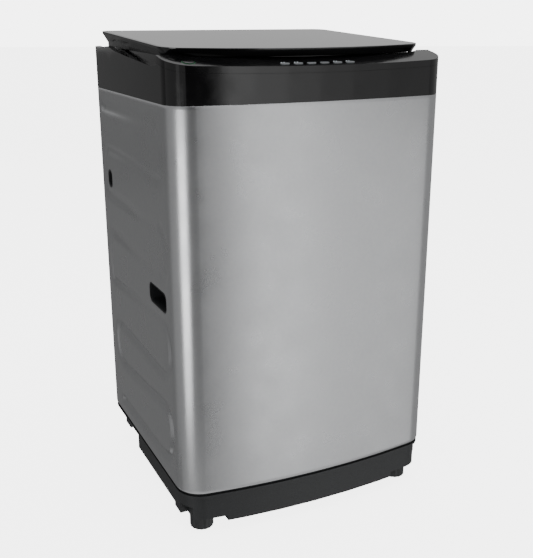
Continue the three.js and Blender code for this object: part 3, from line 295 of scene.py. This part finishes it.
# %% Galvanised sheet
zinc_sheet, tree, surface = new_material("galvanised_steel", "a4a8ab", 0.42, 0.95)
where = place_on(tree)
cells = add_node(tree, "TexVoronoi", {"Scale": PER_METRE / 11.0}, {"Vector": where})
shade = add_node(tree, "SeparateColor", (), {0: cells.outputs["Color"]}).outputs[0]
vary_colour(tree, surface, spread(tree, shade, 0.0, 1.0, 0.0, 1.0), "b3b7ba", "959a9e")
tree.links.new(spread(tree, shade, 0.34, 0.5, 0.0, 1.0), surface.inputs["Roughness"])
relief(tree, surface, grain(tree, where, 3.0), 0.03, 0.3)

# %% [markdown]
# The base, the feet and the grips are injection moulded polypropylene with a spark-eroded texture: grains
# of about half a millimetre break up the gloss, so black looks like dark grey. The grain is drawn at
# 1.2 mm, twice its size, so that it still shows from a distance.

# %% Textured black plastic
black_plastic, tree, surface = new_material("moulded_polypropylene_black", "202122", 0.5, IOR=1.49)
where = place_on(tree)
texture = grain(tree, where, 1.2, 3.0)
vary_colour(tree, surface, spread(tree, texture, 0.0, 1.0), "26282a", "1b1c1d")
tree.links.new(spread(tree, texture, 0.42, 0.56), surface.inputs["Roughness"])
relief(tree, surface, texture, 0.12, 0.5)

# %% [markdown]
# The top cover and the panel are ABS from a polished mould, known as piano black. It is a mirror with a
# faint waviness from shrinking over the ribs, and fine dust and wiping marks that only change roughness.

# %% Piano black
piano_black, tree, surface = new_material("polished_abs_black", "0b0b0c", 0.09, IOR=1.5)
where = place_on(tree)
tree.links.new(spread(tree, grain(tree, where, 35.0, 4.0), 0.07, 0.15), surface.inputs["Roughness"])
vary_colour(tree, surface, spread(tree, grain(tree, where, 90.0), 0.0, 1.0), "0a0a0b", "0e0e0f")
relief(tree, surface, grain(tree, where, 45.0, 1.0), 0.12, 0.25)

# %% [markdown]
# The lid is tempered float glass with black enamel fired on its underside. Glass mirrors more evenly than
# plastic, and its tempering rollers leave a very long, faint wave.

# %% Printed tempered glass
lid_glass, tree, surface = new_material(
    "tempered_glass_black_print", "101112", 0.05, IOR=1.52, Coat_Weight=0.5, Coat_Roughness=0.02)
where = place_on(tree)
tree.links.new(spread(tree, grain(tree, where, 50.0, 4.0), 0.04, 0.09), surface.inputs["Roughness"])
vary_colour(tree, surface, spread(tree, grain(tree, where, 120.0), 0.0, 1.0), "0f1011", "131415")
relief(tree, surface, grain(tree, where, 160.0, 0.0), 0.15, 0.2)

# %% [markdown]
# Keys are ABS with a silver lacquer, smooth and bright. The lamps are small clear lenses, and the ring at
# the power key is green, with a faint painted glow.

# %% Keys and lamps
silver_key, tree, surface = new_material("lacquered_abs_silver", "9a9da0", 0.35, 0.7, IOR=1.5)
where = place_on(tree)
vary_colour(tree, surface, spread(tree, grain(tree, where, 0.8), 0.0, 1.0), "a2a5a8", "909396")
tree.links.new(spread(tree, grain(tree, where, 4.0), 0.3, 0.4), surface.inputs["Roughness"])

lamp_lens, tree, surface = new_material(
    "clear_acrylic_lamp", "e8edf0", 0.12, IOR=1.49, Emission_Strength=0.6)
surface.inputs["Emission Color"].default_value = linear("dfe9ee")
vary_colour(tree, surface, spread(tree, grain(tree, place_on(tree), 0.7), 0.0, 1.0), "eef2f4", "d5dde1")

# The power key's ring: the green is its own colour, and its faint emission is a painted glow.
green_ring_painted_glow, tree, surface = new_material(
    "green_ring_with_painted_glow", "1d5a38", 0.2, IOR=1.49, Emission_Strength=0.04)
surface.inputs["Emission Color"].default_value = linear("1f9a58")
vary_colour(tree, surface, spread(tree, grain(tree, place_on(tree), 2.0), 0.0, 1.0), "1f6b41", "154c2d")

# %% [markdown]
# Inside are white polypropylene for the tub, stainless steel for the basket, and cast and turned metal
# for the drive. Each has its own fine detail: a soft mottle, a brushed grain that runs round, a cast skin.

# %% White plastic
white_plastic, tree, surface = new_material("moulded_polypropylene_white", "dcdedd", 0.42, IOR=1.49)
where = place_on(tree)
vary_colour(tree, surface, spread(tree, grain(tree, where, 25.0, 3.0), 0.0, 1.0), "e0e2e1", "d3d6d5")
tree.links.new(spread(tree, grain(tree, where, 6.0), 0.36, 0.48), surface.inputs["Roughness"])
relief(tree, surface, grain(tree, where, 1.5), 0.04, 0.3)


def brushed(name, colour, light, dark, roughness, stretch):
    """A metal with a fine grain drawn out along one direction."""
    material, tree, surface = new_material(name, colour, roughness, 1.0)
    lines = grain(tree, place_on(tree, stretch), 2.0, 4.0)
    vary_colour(tree, surface, spread(tree, lines, 0.0, 1.0), light, dark)
    tree.links.new(spread(tree, lines, roughness - 0.06, roughness + 0.08), surface.inputs["Roughness"])
    relief(tree, surface, lines, 0.03, 0.25)
    return material


turned_steel = brushed("turned_steel", "9b9da0", "a6a8ab", "8b8d90", 0.32, (1, 1, 8))
stainless_steel = brushed("stainless_steel_sheet", "c4c6c8", "cccecf", "b6b8ba", 0.26, (0.3, 0.3, 4))

cast_aluminium, tree, surface = new_material("cast_aluminium", "b0b2b4", 0.5, 0.9)
skin = grain(tree, place_on(tree), 2.2, 3.0)
vary_colour(tree, surface, spread(tree, skin, 0.0, 1.0), "bbbdbf", "a0a2a5")
relief(tree, surface, skin, 0.1, 0.5)

black_rubber, tree, surface = new_material("vulcanised_rubber", "141414", 0.75, IOR=1.52)
skin = grain(tree, place_on(tree), 1.0)
vary_colour(tree, surface, spread(tree, skin, 0.0, 1.0), "191919", "0f0f0f")
relief(tree, surface, skin, 0.08, 0.5)

solder_mask, tree, surface = new_material("glass_epoxy_board", "1d5a33", 0.35, IOR=1.55)
weave = grain(tree, place_on(tree), 1.2)
vary_colour(tree, surface, spread(tree, weave, 0.0, 1.0), "236a3d", "174a2a")

filter_net, tree, surface = new_material("nylon_filter_net", "3f6fa0", 0.5, IOR=1.53)
threads = add_node(tree, "TexChecker", {"Scale": PER_METRE / 1.8}, {"Vector": place_on(tree)}).outputs[1]
vary_colour(tree, surface, threads, "4a7bab", "2f5b88")
relief(tree, surface, threads, 0.2, 0.6)

print("materials", len(bpy.data.materials))

# %% [markdown]
# The record says which finish each CAD node has. Every node gets the material of its slot, so that also
# the parts that are only seen through the mouth or from below are finished.

# %% Dress the CAD nodes
SLOT_MATERIAL = {
    "silver_sheet": coated_steel,
    "zinc_sheet": zinc_sheet,
    "black_matte": black_plastic,
    "black_gloss": piano_black,
    "lamp_plastic": silver_key,
    "lid_glass": lid_glass,
    "white_plastic": white_plastic,
    "stainless": stainless_steel,
    "steel": turned_steel,
    "aluminium": cast_aluminium,
    "rubber": black_rubber,
    "board": solder_mask,
    "filter_mesh": filter_net,
}
slot_of = {part["node"]: part["material_slot"] for part in frame["record"]["subparts"]}
bodies = frame["record"]["behaviour"]["bodies"]
body_of = {node: body for body, members in bodies.items() for node in members}
for name, node in nodes.items():
    node.data.materials.clear()
    node.data.materials.append(SLOT_MATERIAL[slot_of[name]])
print("dressed", len(nodes), "nodes in", len(set(slot_of.values())), "finishes")

# %% [markdown]
# Small tools for modelling. Everything is deselected before an operator is used, because the imported
# nodes start selected. A finished piece rides on the body of the node that it stands for and hides the
# node.

# %% Modelling tools
def only(piece):
    """Selects one object and makes it active."""
    bpy.ops.object.select_all(action="DESELECT")
    piece.select_set(True)
    bpy.context.view_layer.objects.active = piece


def settle(piece, name, material):
    """Names a new piece, applies its place to its mesh and gives it one material."""
    only(piece)
    piece.name = name
    piece.data.name = name
    bpy.ops.object.transform_apply(location=True, rotation=True, scale=True)
    piece.data.materials.clear()
    piece.data.materials.append(material)


def apply_all(piece):
    only(piece)
    for modifier in list(piece.modifiers):
        bpy.ops.object.modifier_apply(modifier=modifier.name)


def cut_out(piece, cutter):
    """Takes the cutter's shape out of the piece and removes the cutter."""
    cut = piece.modifiers.new("cut", "BOOLEAN")
    cut.operation = "DIFFERENCE"
    cut.solver = "EXACT"
    cut.object = cutter
    apply_all(piece)
    bpy.data.objects.remove(cutter)


def thicken(piece, thick_mm, offset):
    """Gives a bare surface its wall; the offset says to which side."""
    wall = piece.modifiers.new("wall", "SOLIDIFY")
    wall.thickness = thick_mm * MM
    wall.offset = offset
    apply_all(piece)


def smooth(piece, angle=35):
    only(piece)
    bpy.ops.object.shade_smooth_by_angle(angle=math.radians(angle))


def stand_for(piece, node):
    """The piece rides where the node rides and hides the node."""
    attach(piece, body_of[node])
    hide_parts(node)
    return piece


def select_faces(piece, test):
    """In edit mode, selects the faces whose centre passes a test."""
    bpy.ops.mesh.select_all(action="DESELECT")
    bpy.ops.object.mode_set(mode="OBJECT")
    for face in piece.data.polygons:
        face.select = test(face.center)
    bpy.ops.object.mode_set(mode="EDIT")


print("modelling tools ready")

# %% [markdown]
# The cabinet is one long sheet, folded round the front and both sides. A grid is laid along the folded
# outline, column by column, and its rows go up the sheet. The lowest rows are drawn in, as the rolled
# edge is. The plan has a gentle bow in front, so its corner arcs and its bow meet without a kink.

# %% Outline of the folded sheet
WIDTH, DEPTH = 550.0, 505.0
SHEET_LOW, SHEET_TOP = 93.0, 820.0
BOW, FRONT_CORNER, REAR_CORNER, RETURN = 24.0, 52.0, 22.0, 36.0
STEP = 5.5  # spacing of the grid on the sides
FRONT_Y, REAR_Y = -DEPTH / 2, DEPTH / 2

bow_radius = ((WIDTH / 2) ** 2 + BOW ** 2) / (2 * BOW)
bow_y = FRONT_Y + bow_radius
corner_x = WIDTH / 2 - FRONT_CORNER
corner_y = bow_y - math.sqrt((bow_radius - FRONT_CORNER) ** 2 - corner_x ** 2)
corner_turn = math.asin(corner_x / (bow_radius - FRONT_CORNER))


def arc(cx, cy, radius, start, end, steps):
    """Points and outward normals on an arc, angles in radians from +X."""
    for i in range(steps + 1):
        angle = start + (end - start) * i / steps
        across, up = math.cos(angle), math.sin(angle)
        yield (cx + radius * across, cy + radius * up), (across, up)


def left_half():
    """The outline from the rear fold on the left to the middle of the front."""
    side_x, rear_y = -WIDTH / 2, REAR_Y - REAR_CORNER
    yield (side_x + RETURN, REAR_Y), (0.0, 1.0)
    yield from arc(side_x + REAR_CORNER, rear_y, REAR_CORNER, math.pi / 2, math.pi, 8)
    steps = round((rear_y - corner_y) / STEP)
    for i in range(1, steps):
        yield (side_x, rear_y + (corner_y - rear_y) * i / steps), (-1.0, 0.0)
    down = 1.5 * math.pi
    yield from arc(-corner_x, corner_y, FRONT_CORNER, math.pi, down - corner_turn, 16)
    bow = list(arc(0, bow_y, bow_radius, down - corner_turn, down, 18))
    yield from bow[1:]


half = list(left_half())
mirrored = [((-x, y), (-nx, ny)) for (x, y), (nx, ny) in reversed(half[:-1])]
outline = half + mirrored
print("outline", len(outline), "columns")

# %% [markdown]
# The sides are pressed with one long soft groove that snakes from the top to the bottom. It stiffens the
# flat sheet and keeps it from drumming. The groove follows a smooth curve through the turns, and each
# point of the sheet sinks by its distance from that curve. Round the grip and the side hole it dies out,
# because a die leaves the sheet flat there.

# %% Path of the pressed groove
GROOVE = [  # y from the start of the side, z above the sheet's lower edge
    (440, 694), (421, 689), (250, 690), (110, 690), (78, 683), (60, 662), (54, 638), (55, 616), (66, 597),
    (96, 592), (180, 598), (271, 602), (392, 604), (421, 601), (436, 580), (438, 553), (437, 530),
    (428, 510), (398, 507), (300, 506), (198, 503), (110, 508), (80, 508), (60, 493), (52, 472),
    (52, 445), (59, 421), (90, 413), (118, 417), (250, 420), (380, 424), (415, 421), (430, 396),
    (433, 362), (428, 328), (408, 313), (300, 318), (180, 326), (100, 330), (70, 320), (54, 297), (50, 272),
    (56, 243), (76, 222), (120, 216), (260, 218), (380, 218), (407, 211), (416, 190), (414, 160),
    (398, 138), (360, 130), (240, 138), (120, 150), (84, 150), (62, 134), (55, 110), (57, 84), (67, 58),
    (90, 42), (160, 36), (300, 34), (400, 34),
]
GROOVE_REACH = 15.0  # half of its width
GROOVE_DEPTH = (4.5, 8.0)  # near the top and near the bottom
DEEPEST_AT, SHALLOW_OVER = 80.0, 520.0  # height of the full depth, and over which it eases off
NEAR_FRONT, LOST_HIGHER = 0.85, 0.65  # share of the depth left near the front, and what it loses higher up
LOSS_FROM, LOSS_OVER = 180.0, 300.0  # height where that loss starts, and over which it grows
FULL_FROM, FULL_OVER = 150.0, 230.0  # where a run gets its full depth back, counted from the front
TURNS_TO, TURN_SHARE = 90.0, 0.45  # the turns near the front keep at least this share
FLAT_ZONES = [(108, 367, 58, 26), (401, 543, 18, 22)]  # grip and side hole: middle and half size
ZONE_FADE = 14.0  # how far from a flat zone the groove has its depth again
SIDE_START = FRONT_Y + BOW  # the bow ends here, and the side begins


def smooth_path(points, spacing=3.0):
    """A Catmull-Rom curve through the points, with a point every few millimetres."""
    ends = [points[0]] + list(points) + [points[-1]]
    path = []
    for i in range(1, len(ends) - 2):
        p0, p1, p2, p3 = (Vector(ends[i + k]) for k in (-1, 0, 1, 2))
        parts = max(1, round((p2 - p1).length / spacing))
        for k in range(parts):
            t = k / parts
            path.append(0.5 * (2 * p1 + (p2 - p0) * t + (2 * p0 - 5 * p1 + 4 * p2 - p3) * t ** 2
                               + (3 * p1 - p0 - 3 * p2 + p3) * t ** 3))
    return path + [Vector(points[-1])]


groove_path = smooth_path(GROOVE)
CELL = 20.0  # side of the squares that the curve's points are sorted into, over the groove's reach
groove_cells = {}
for place in groove_path:
    groove_cells.setdefault((int(place.x // CELL), int(place.y // CELL)), []).append(place)


def near_groove(y, z):
    """Distance to the groove's curve, or a large number far from it."""
    cell = (int(y // CELL), int(z // CELL))
    best = 1e9
    for dy in (-1, 0, 1):
        for dz in (-1, 0, 1):
            for place in groove_cells.get((cell[0] + dy, cell[1] + dz), ()):
                best = min(best, (place.x - y) ** 2 + (place.y - z) ** 2)
    return math.sqrt(best)


def ease(value):
    value = min(1.0, max(0.0, value))
    return value * value * (3 - 2 * value)


def sunk(y, z):
    """How deep the sheet lies at a place on the side, in millimetres."""
    distance = near_groove(y, z)
    if distance >= GROOVE_REACH:
        return 0.0
    up = ease((z - DEEPEST_AT) / SHALLOW_OVER)
    depth = GROOVE_DEPTH[1] + (GROOVE_DEPTH[0] - GROOVE_DEPTH[1]) * up
    faded = NEAR_FRONT - LOST_HIGHER * ease((z - LOSS_FROM) / LOSS_OVER)
    if y > TURNS_TO:
        depth *= faded + (1 - faded) * ease((y - FULL_FROM) / FULL_OVER)
    else:
        depth *= max(faded, TURN_SHARE)
    for zone_y, zone_z, half_y, half_z in FLAT_ZONES:
        away = max(abs(y - zone_y) - half_y, abs(z - zone_z) - half_z)
        depth *= ease(away / ZONE_FADE)
    return depth * (0.5 + 0.5 * math.cos(math.pi * distance / GROOVE_REACH))


print("groove", len(groove_path), "points")

# %% [markdown]
# Now the grid is made and each of its points is moved to its column and row. Solidify gives the sheet its
# thickness inwards. The holes for the grips and side bushes are cut with rounded blocks.

# %% Cabinet sheet
ROLLED = [(0.0, 2.6), (0.5, 1.3), (1.5, 0.45), (3.0, 0.0)]  # height over an edge and how far it draws in
ROWS = 130
SHEET_THICK = 1.0

rows = [(SHEET_LOW + rise, draw) for rise, draw in ROLLED]
low_z, high_z = SHEET_LOW + ROLLED[-1][0], SHEET_TOP - 0.8
rows += [(low_z + (high_z - low_z) * i / ROWS, 0.0) for i in range(1, ROWS + 1)]
rows += [(SHEET_TOP, 0.5)]

bpy.ops.object.select_all(action="DESELECT")
bpy.ops.mesh.primitive_grid_add(x_subdivisions=len(outline) - 1, y_subdivisions=len(rows) - 1, size=2)
sheet = bpy.context.active_object
count = len(outline)
for index, vertex in enumerate(sheet.data.vertices):
    (x, y), (nx, ny) = outline[index % count]
    z, draw = rows[index // count]
    if abs(nx) > 0.999 and draw == 0.0:
        draw = sunk(y - SIDE_START, z - SHEET_LOW)
    vertex.co = Vector((x - nx * draw, y - ny * draw, z)) * MM
sheet.data.update()
only(sheet)
bpy.ops.object.mode_set(mode="EDIT")
bpy.ops.mesh.select_all(action="SELECT")
bpy.ops.mesh.remove_doubles(threshold=0.00002)
bpy.ops.object.mode_set(mode="OBJECT")
front_face = min(sheet.data.polygons, key=lambda face: face.center.y)
if front_face.normal.y > 0:
    bpy.ops.object.mode_set(mode="EDIT")
    bpy.ops.mesh.select_all(action="SELECT")
    bpy.ops.mesh.flip_normals()
    bpy.ops.object.mode_set(mode="OBJECT")
thicken(sheet, SHEET_THICK, -1.0)
print("sheet", len(sheet.data.polygons), "faces")


# %% [markdown]
# One rounded block cuts both sides at once, because the grips and the side holes lie opposite each other.

# %% Holes in the sheet
def rounded_bar(y, z, width, height, radius, reach=300.0, segments=8):
    """A bar along X with rounded corners in its section, sizes in millimetres."""
    bpy.ops.object.select_all(action="DESELECT")
    bpy.ops.mesh.primitive_cube_add(size=1, location=(0, y * MM, z * MM))
    bar = bpy.context.active_object
    bar.scale = (2 * reach * MM, width * MM, height * MM)
    bpy.ops.object.transform_apply(location=True, rotation=True, scale=True)
    bpy.ops.object.mode_set(mode="EDIT")
    bpy.ops.mesh.select_mode(type="EDGE")
    bpy.ops.mesh.select_all(action="DESELECT")
    bpy.ops.object.mode_set(mode="OBJECT")
    for edge in bar.data.edges:
        a, b = (bar.data.vertices[v].co for v in edge.vertices)
        edge.select = abs(a.x - b.x) > reach * MM
    bpy.ops.object.mode_set(mode="EDIT")
    bpy.ops.mesh.bevel(offset=radius * MM, segments=segments, affect="EDGES")
    bpy.ops.object.mode_set(mode="OBJECT")
    return bar


GRIP_HOLE = (-120, 460, 100, 40, 14)  # y, z, width, height and corner radius
SIDE_HOLE = (173, 636, 31, 38, 13)
for hole in (GRIP_HOLE, SIDE_HOLE):
    cut_out(sheet, rounded_bar(*hole))
settle(sheet, "cabinet_sheet", coated_steel)
smooth(sheet, 40)
stand_for(sheet, "cabinet_wrap")
print("sheet with holes", len(sheet.data.polygons), "faces")

# %% [markdown]
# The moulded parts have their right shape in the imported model, but every edge there is sharp and no
# moulding is. A copy of such a part is merged into one skin, its flat faces are joined, its sharp edges
# get a small bevel, and it is shaded smooth. The copy then stands for the node.

# %% Soft-edged copies
def soft_copy(node, width_mm, segments=2, angle=32, shade=32):
    """A copy of a CAD node with bevelled edges that stands for it."""
    source = nodes[node]
    bpy.ops.object.select_all(action="DESELECT")
    piece = bpy.data.objects.new(node + "_skin", source.data.copy())
    bpy.context.scene.collection.objects.link(piece)
    only(piece)
    bpy.ops.object.mode_set(mode="EDIT")
    bpy.ops.mesh.select_mode(type="VERT")
    bpy.ops.mesh.select_all(action="SELECT")
    bpy.ops.mesh.remove_doubles(threshold=0.00001)
    bpy.ops.mesh.dissolve_limited(angle_limit=math.radians(2))
    bpy.ops.object.mode_set(mode="OBJECT")
    bevel = piece.modifiers.new("soft", "BEVEL")
    bevel.width = width_mm * MM
    bevel.segments = segments
    bevel.limit_method = "ANGLE"
    bevel.angle_limit = math.radians(angle)
    bevel.use_clamp_overlap = True
    bevel.miter_outer = "MITER_ARC"
    apply_all(piece)
    settle(piece, node + "_skin", SLOT_MATERIAL[slot_of[node]])
    smooth(piece, shade)
    even = piece.modifiers.new("even", "WEIGHTED_NORMAL")
    even.keep_sharp = True
    even.weight = 100
    apply_all(piece)
    return stand_for(piece, node)


EDGE_MM = {
    "top_cover": 1.0, "control_panel": 0.8, "lid_frame": 0.6, "lid_glass": 0.6, "lid_inner": 0.8,
    "base_frame": 1.2, "grip_cup_left": 0.8, "grip_cup_right": 0.8, "side_bush_left": 0.8,
    "side_bush_right": 0.8, "rear_service_cover": 1.2, "power_button": 0.4, "balance_ring": 2.0,
    "basket_base": 1.5, "tub_cover": 1.5, "outer_tub": 1.5, "detergent_drawer": 0.8, "lint_filter": 1.5,
    "pulsator": 2.0, "motor": 1.5, "drive_pulley": 0.5, "clutch_housing": 1.0, "drain_valve": 1.0,
}
for number in range(1, 7):
    EDGE_MM[f"program_button_{number}"] = 0.35
for node, width in EDGE_MM.items():
    made = soft_copy(node, width)
    print(node, len(made.data.polygons), "faces, edges", width, "mm")
CORNERS = ("front_left", "front_right", "rear_left", "rear_right")
for corner in CORNERS:
    soft_copy("foot_" + corner, 0.4, angle=14, shade=12)  # so low an angle keeps the flutes crisp

# %% [markdown]
# Round lamps stand in pairs behind four of the keys, and a green ring with a faint painted glow sits round
# the power key. They are drawn flat about the origin, tilted with the panel and moved to their place on its
# face.

# %% Lamps and the ring
PANEL_RISE, PANEL_SLOPE = 60.5, 0.22  # its front edge above the sheet, and its rise towards the back
KEY_X, KEY_PITCH, KEY_Y = -70.0, 25.7, FRONT_Y + 15.5
POWER_X, POWER_Y = -WIDTH / 2 + 40, FRONT_Y + 39.5


def disc(radius, thick, rounding):
    """A flat round piece about the origin with a rounded rim, sizes in millimetres."""
    bpy.ops.object.select_all(action="DESELECT")
    bpy.ops.mesh.primitive_cylinder_add(vertices=48, radius=radius * MM, depth=thick * MM)
    piece = bpy.context.active_object
    rim = piece.modifiers.new("rim", "BEVEL")
    rim.width = rounding * MM
    rim.segments = 3
    rim.limit_method = "ANGLE"
    apply_all(piece)
    return piece


def set_on_panel(piece, name, x, y, material, slot_node):
    """Tilts a flat piece with the panel, moves it there and fixes it to the cabinet."""
    piece.rotation_euler = (math.atan(PANEL_SLOPE), 0, 0)
    piece.location = Vector((x, y, SHEET_TOP + PANEL_RISE + PANEL_SLOPE * (y - FRONT_Y))) * MM
    settle(piece, name, material)
    smooth(piece)
    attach(piece, body_of[slot_node])


RING_RADIUS, RING_HOLE, LAMP_THICK = 11.6, 10.7, 0.8
ring = disc(RING_RADIUS, LAMP_THICK, 0.25)
cut_out(ring, disc(RING_HOLE, 5 * LAMP_THICK, 0.2))
# The green ring's faint glow is painted.
set_on_panel(ring, "power_key_green_ring", POWER_X, POWER_Y, green_ring_painted_glow, "program_button_1")

LAMP_RADIUS, LAMP_APART, LAMP_BEHIND = 0.9, 5.0, 8.5
for key in (0, 1, 4, 5):
    for side in (-0.5, 0.5):
        lamp = disc(LAMP_RADIUS, LAMP_THICK, 0.35)
        x = KEY_X + key * KEY_PITCH + side * LAMP_APART
        set_on_panel(lamp, f"lamp_{key + 1}_{'a' if side < 0 else 'b'}", x, KEY_Y + LAMP_BEHIND,
                     lamp_lens, "program_button_1")
print("ring and 8 lamps")

# %% [markdown]
# The basket is a rolled stainless sheet with rows of punched holes that let the water out. A tube is cut
# into square cells, every second one in a checker pattern is inset, and the inner face is taken away. The
# sheet then gets its thickness inwards, so each hole has a real edge.

# %% Perforated basket
BASKET_RADIUS, BASKET_WALL = 215.0, 1.5
TUB_Y = 2.0
HOLE_CELL, HOLE_MARGIN = 15.0, 5.6  # size of a cell, and what is left of it round a hole

basket_low, basket_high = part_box("basket")
basket_z0, basket_z1 = basket_low[2] / MM, basket_high[2] / MM
columns = 2 * round(math.pi * BASKET_RADIUS / HOLE_CELL)
rows_up = round((basket_z1 - basket_z0) / HOLE_CELL)
bpy.ops.object.select_all(action="DESELECT")
bpy.ops.mesh.primitive_grid_add(x_subdivisions=columns, y_subdivisions=rows_up, size=2)
basket = bpy.context.active_object
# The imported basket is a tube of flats, so its corners, and not its flats, lie on the full radius.
# The drawn one is round and lies inside those flats.
BASKET_FLATS = 32
round_radius = BASKET_RADIUS * math.cos(math.pi / BASKET_FLATS)
for vertex in basket.data.vertices:
    turn = math.pi * vertex.co.x
    up = basket_z0 + (basket_z1 - basket_z0) * (vertex.co.y + 1) / 2
    vertex.co = Vector((round_radius * math.cos(turn), TUB_Y + round_radius * math.sin(turn), up)) * MM
basket.data.update()
only(basket)
bpy.ops.object.mode_set(mode="EDIT")
bpy.ops.mesh.select_mode(type="FACE")
bpy.ops.mesh.select_all(action="SELECT")
bpy.ops.mesh.remove_doubles(threshold=0.00001)
cell_high = (basket_z1 - basket_z0) / rows_up


def has_hole(centre):
    """True for every second cell, and never in the lowest or highest row."""
    column = math.floor((math.atan2(centre.y / MM - TUB_Y, centre.x / MM) / math.pi + 1) * columns / 2)
    row = math.floor((centre.z / MM - basket_z0) / cell_high)
    return 0 < row < rows_up - 1 and (row + column) % 2 == 0


select_faces(basket, has_hole)
bpy.ops.mesh.inset(thickness=HOLE_MARGIN * MM, use_individual=True)
bpy.ops.mesh.delete(type="FACE")
bpy.ops.object.mode_set(mode="OBJECT")
outward = basket.data.polygons[0]
away = Vector((outward.center.x, outward.center.y - TUB_Y * MM, 0))
thicken(basket, BASKET_WALL, -1.0 if outward.normal.dot(away) > 0 else 1.0)
settle(basket, "basket_perforated", stainless_steel)
smooth(basket, 30)
stand_for(basket, "basket")
print("basket", columns, "columns,", rows_up, "rows,", len(basket.data.polygons), "faces")

# %% [markdown]
# A spring shortens as the tub sinks, which a rigid node can't do. Its copy rides on the body of its rod,
# and the share of its length that it would keep is printed; the copy itself isn't flattened.

# %% Spring copies
SPRING_SEAT, TUB_DROP = 0.213, 0.03  # height of a spring's lower end and the tub's way down, in metres
for corner in CORNERS:
    node = "suspension_spring_" + corner
    bpy.ops.object.select_all(action="DESELECT")
    coil = bpy.data.objects.new(node + "_coil", nodes[node].data.copy())
    bpy.context.scene.collection.objects.link(coil)
    settle(coil, node + "_coil", turned_steel)
    smooth(coil, 50)
    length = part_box(node)[1][2] - SPRING_SEAT
    kept = (length - TUB_DROP) / length
    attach(coil, body_of["suspension_rod_" + corner])
    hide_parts(node)
    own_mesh(coil)
    print(node, "kept share", round(kept, 3), "rides", body_of["suspension_rod_" + corner])
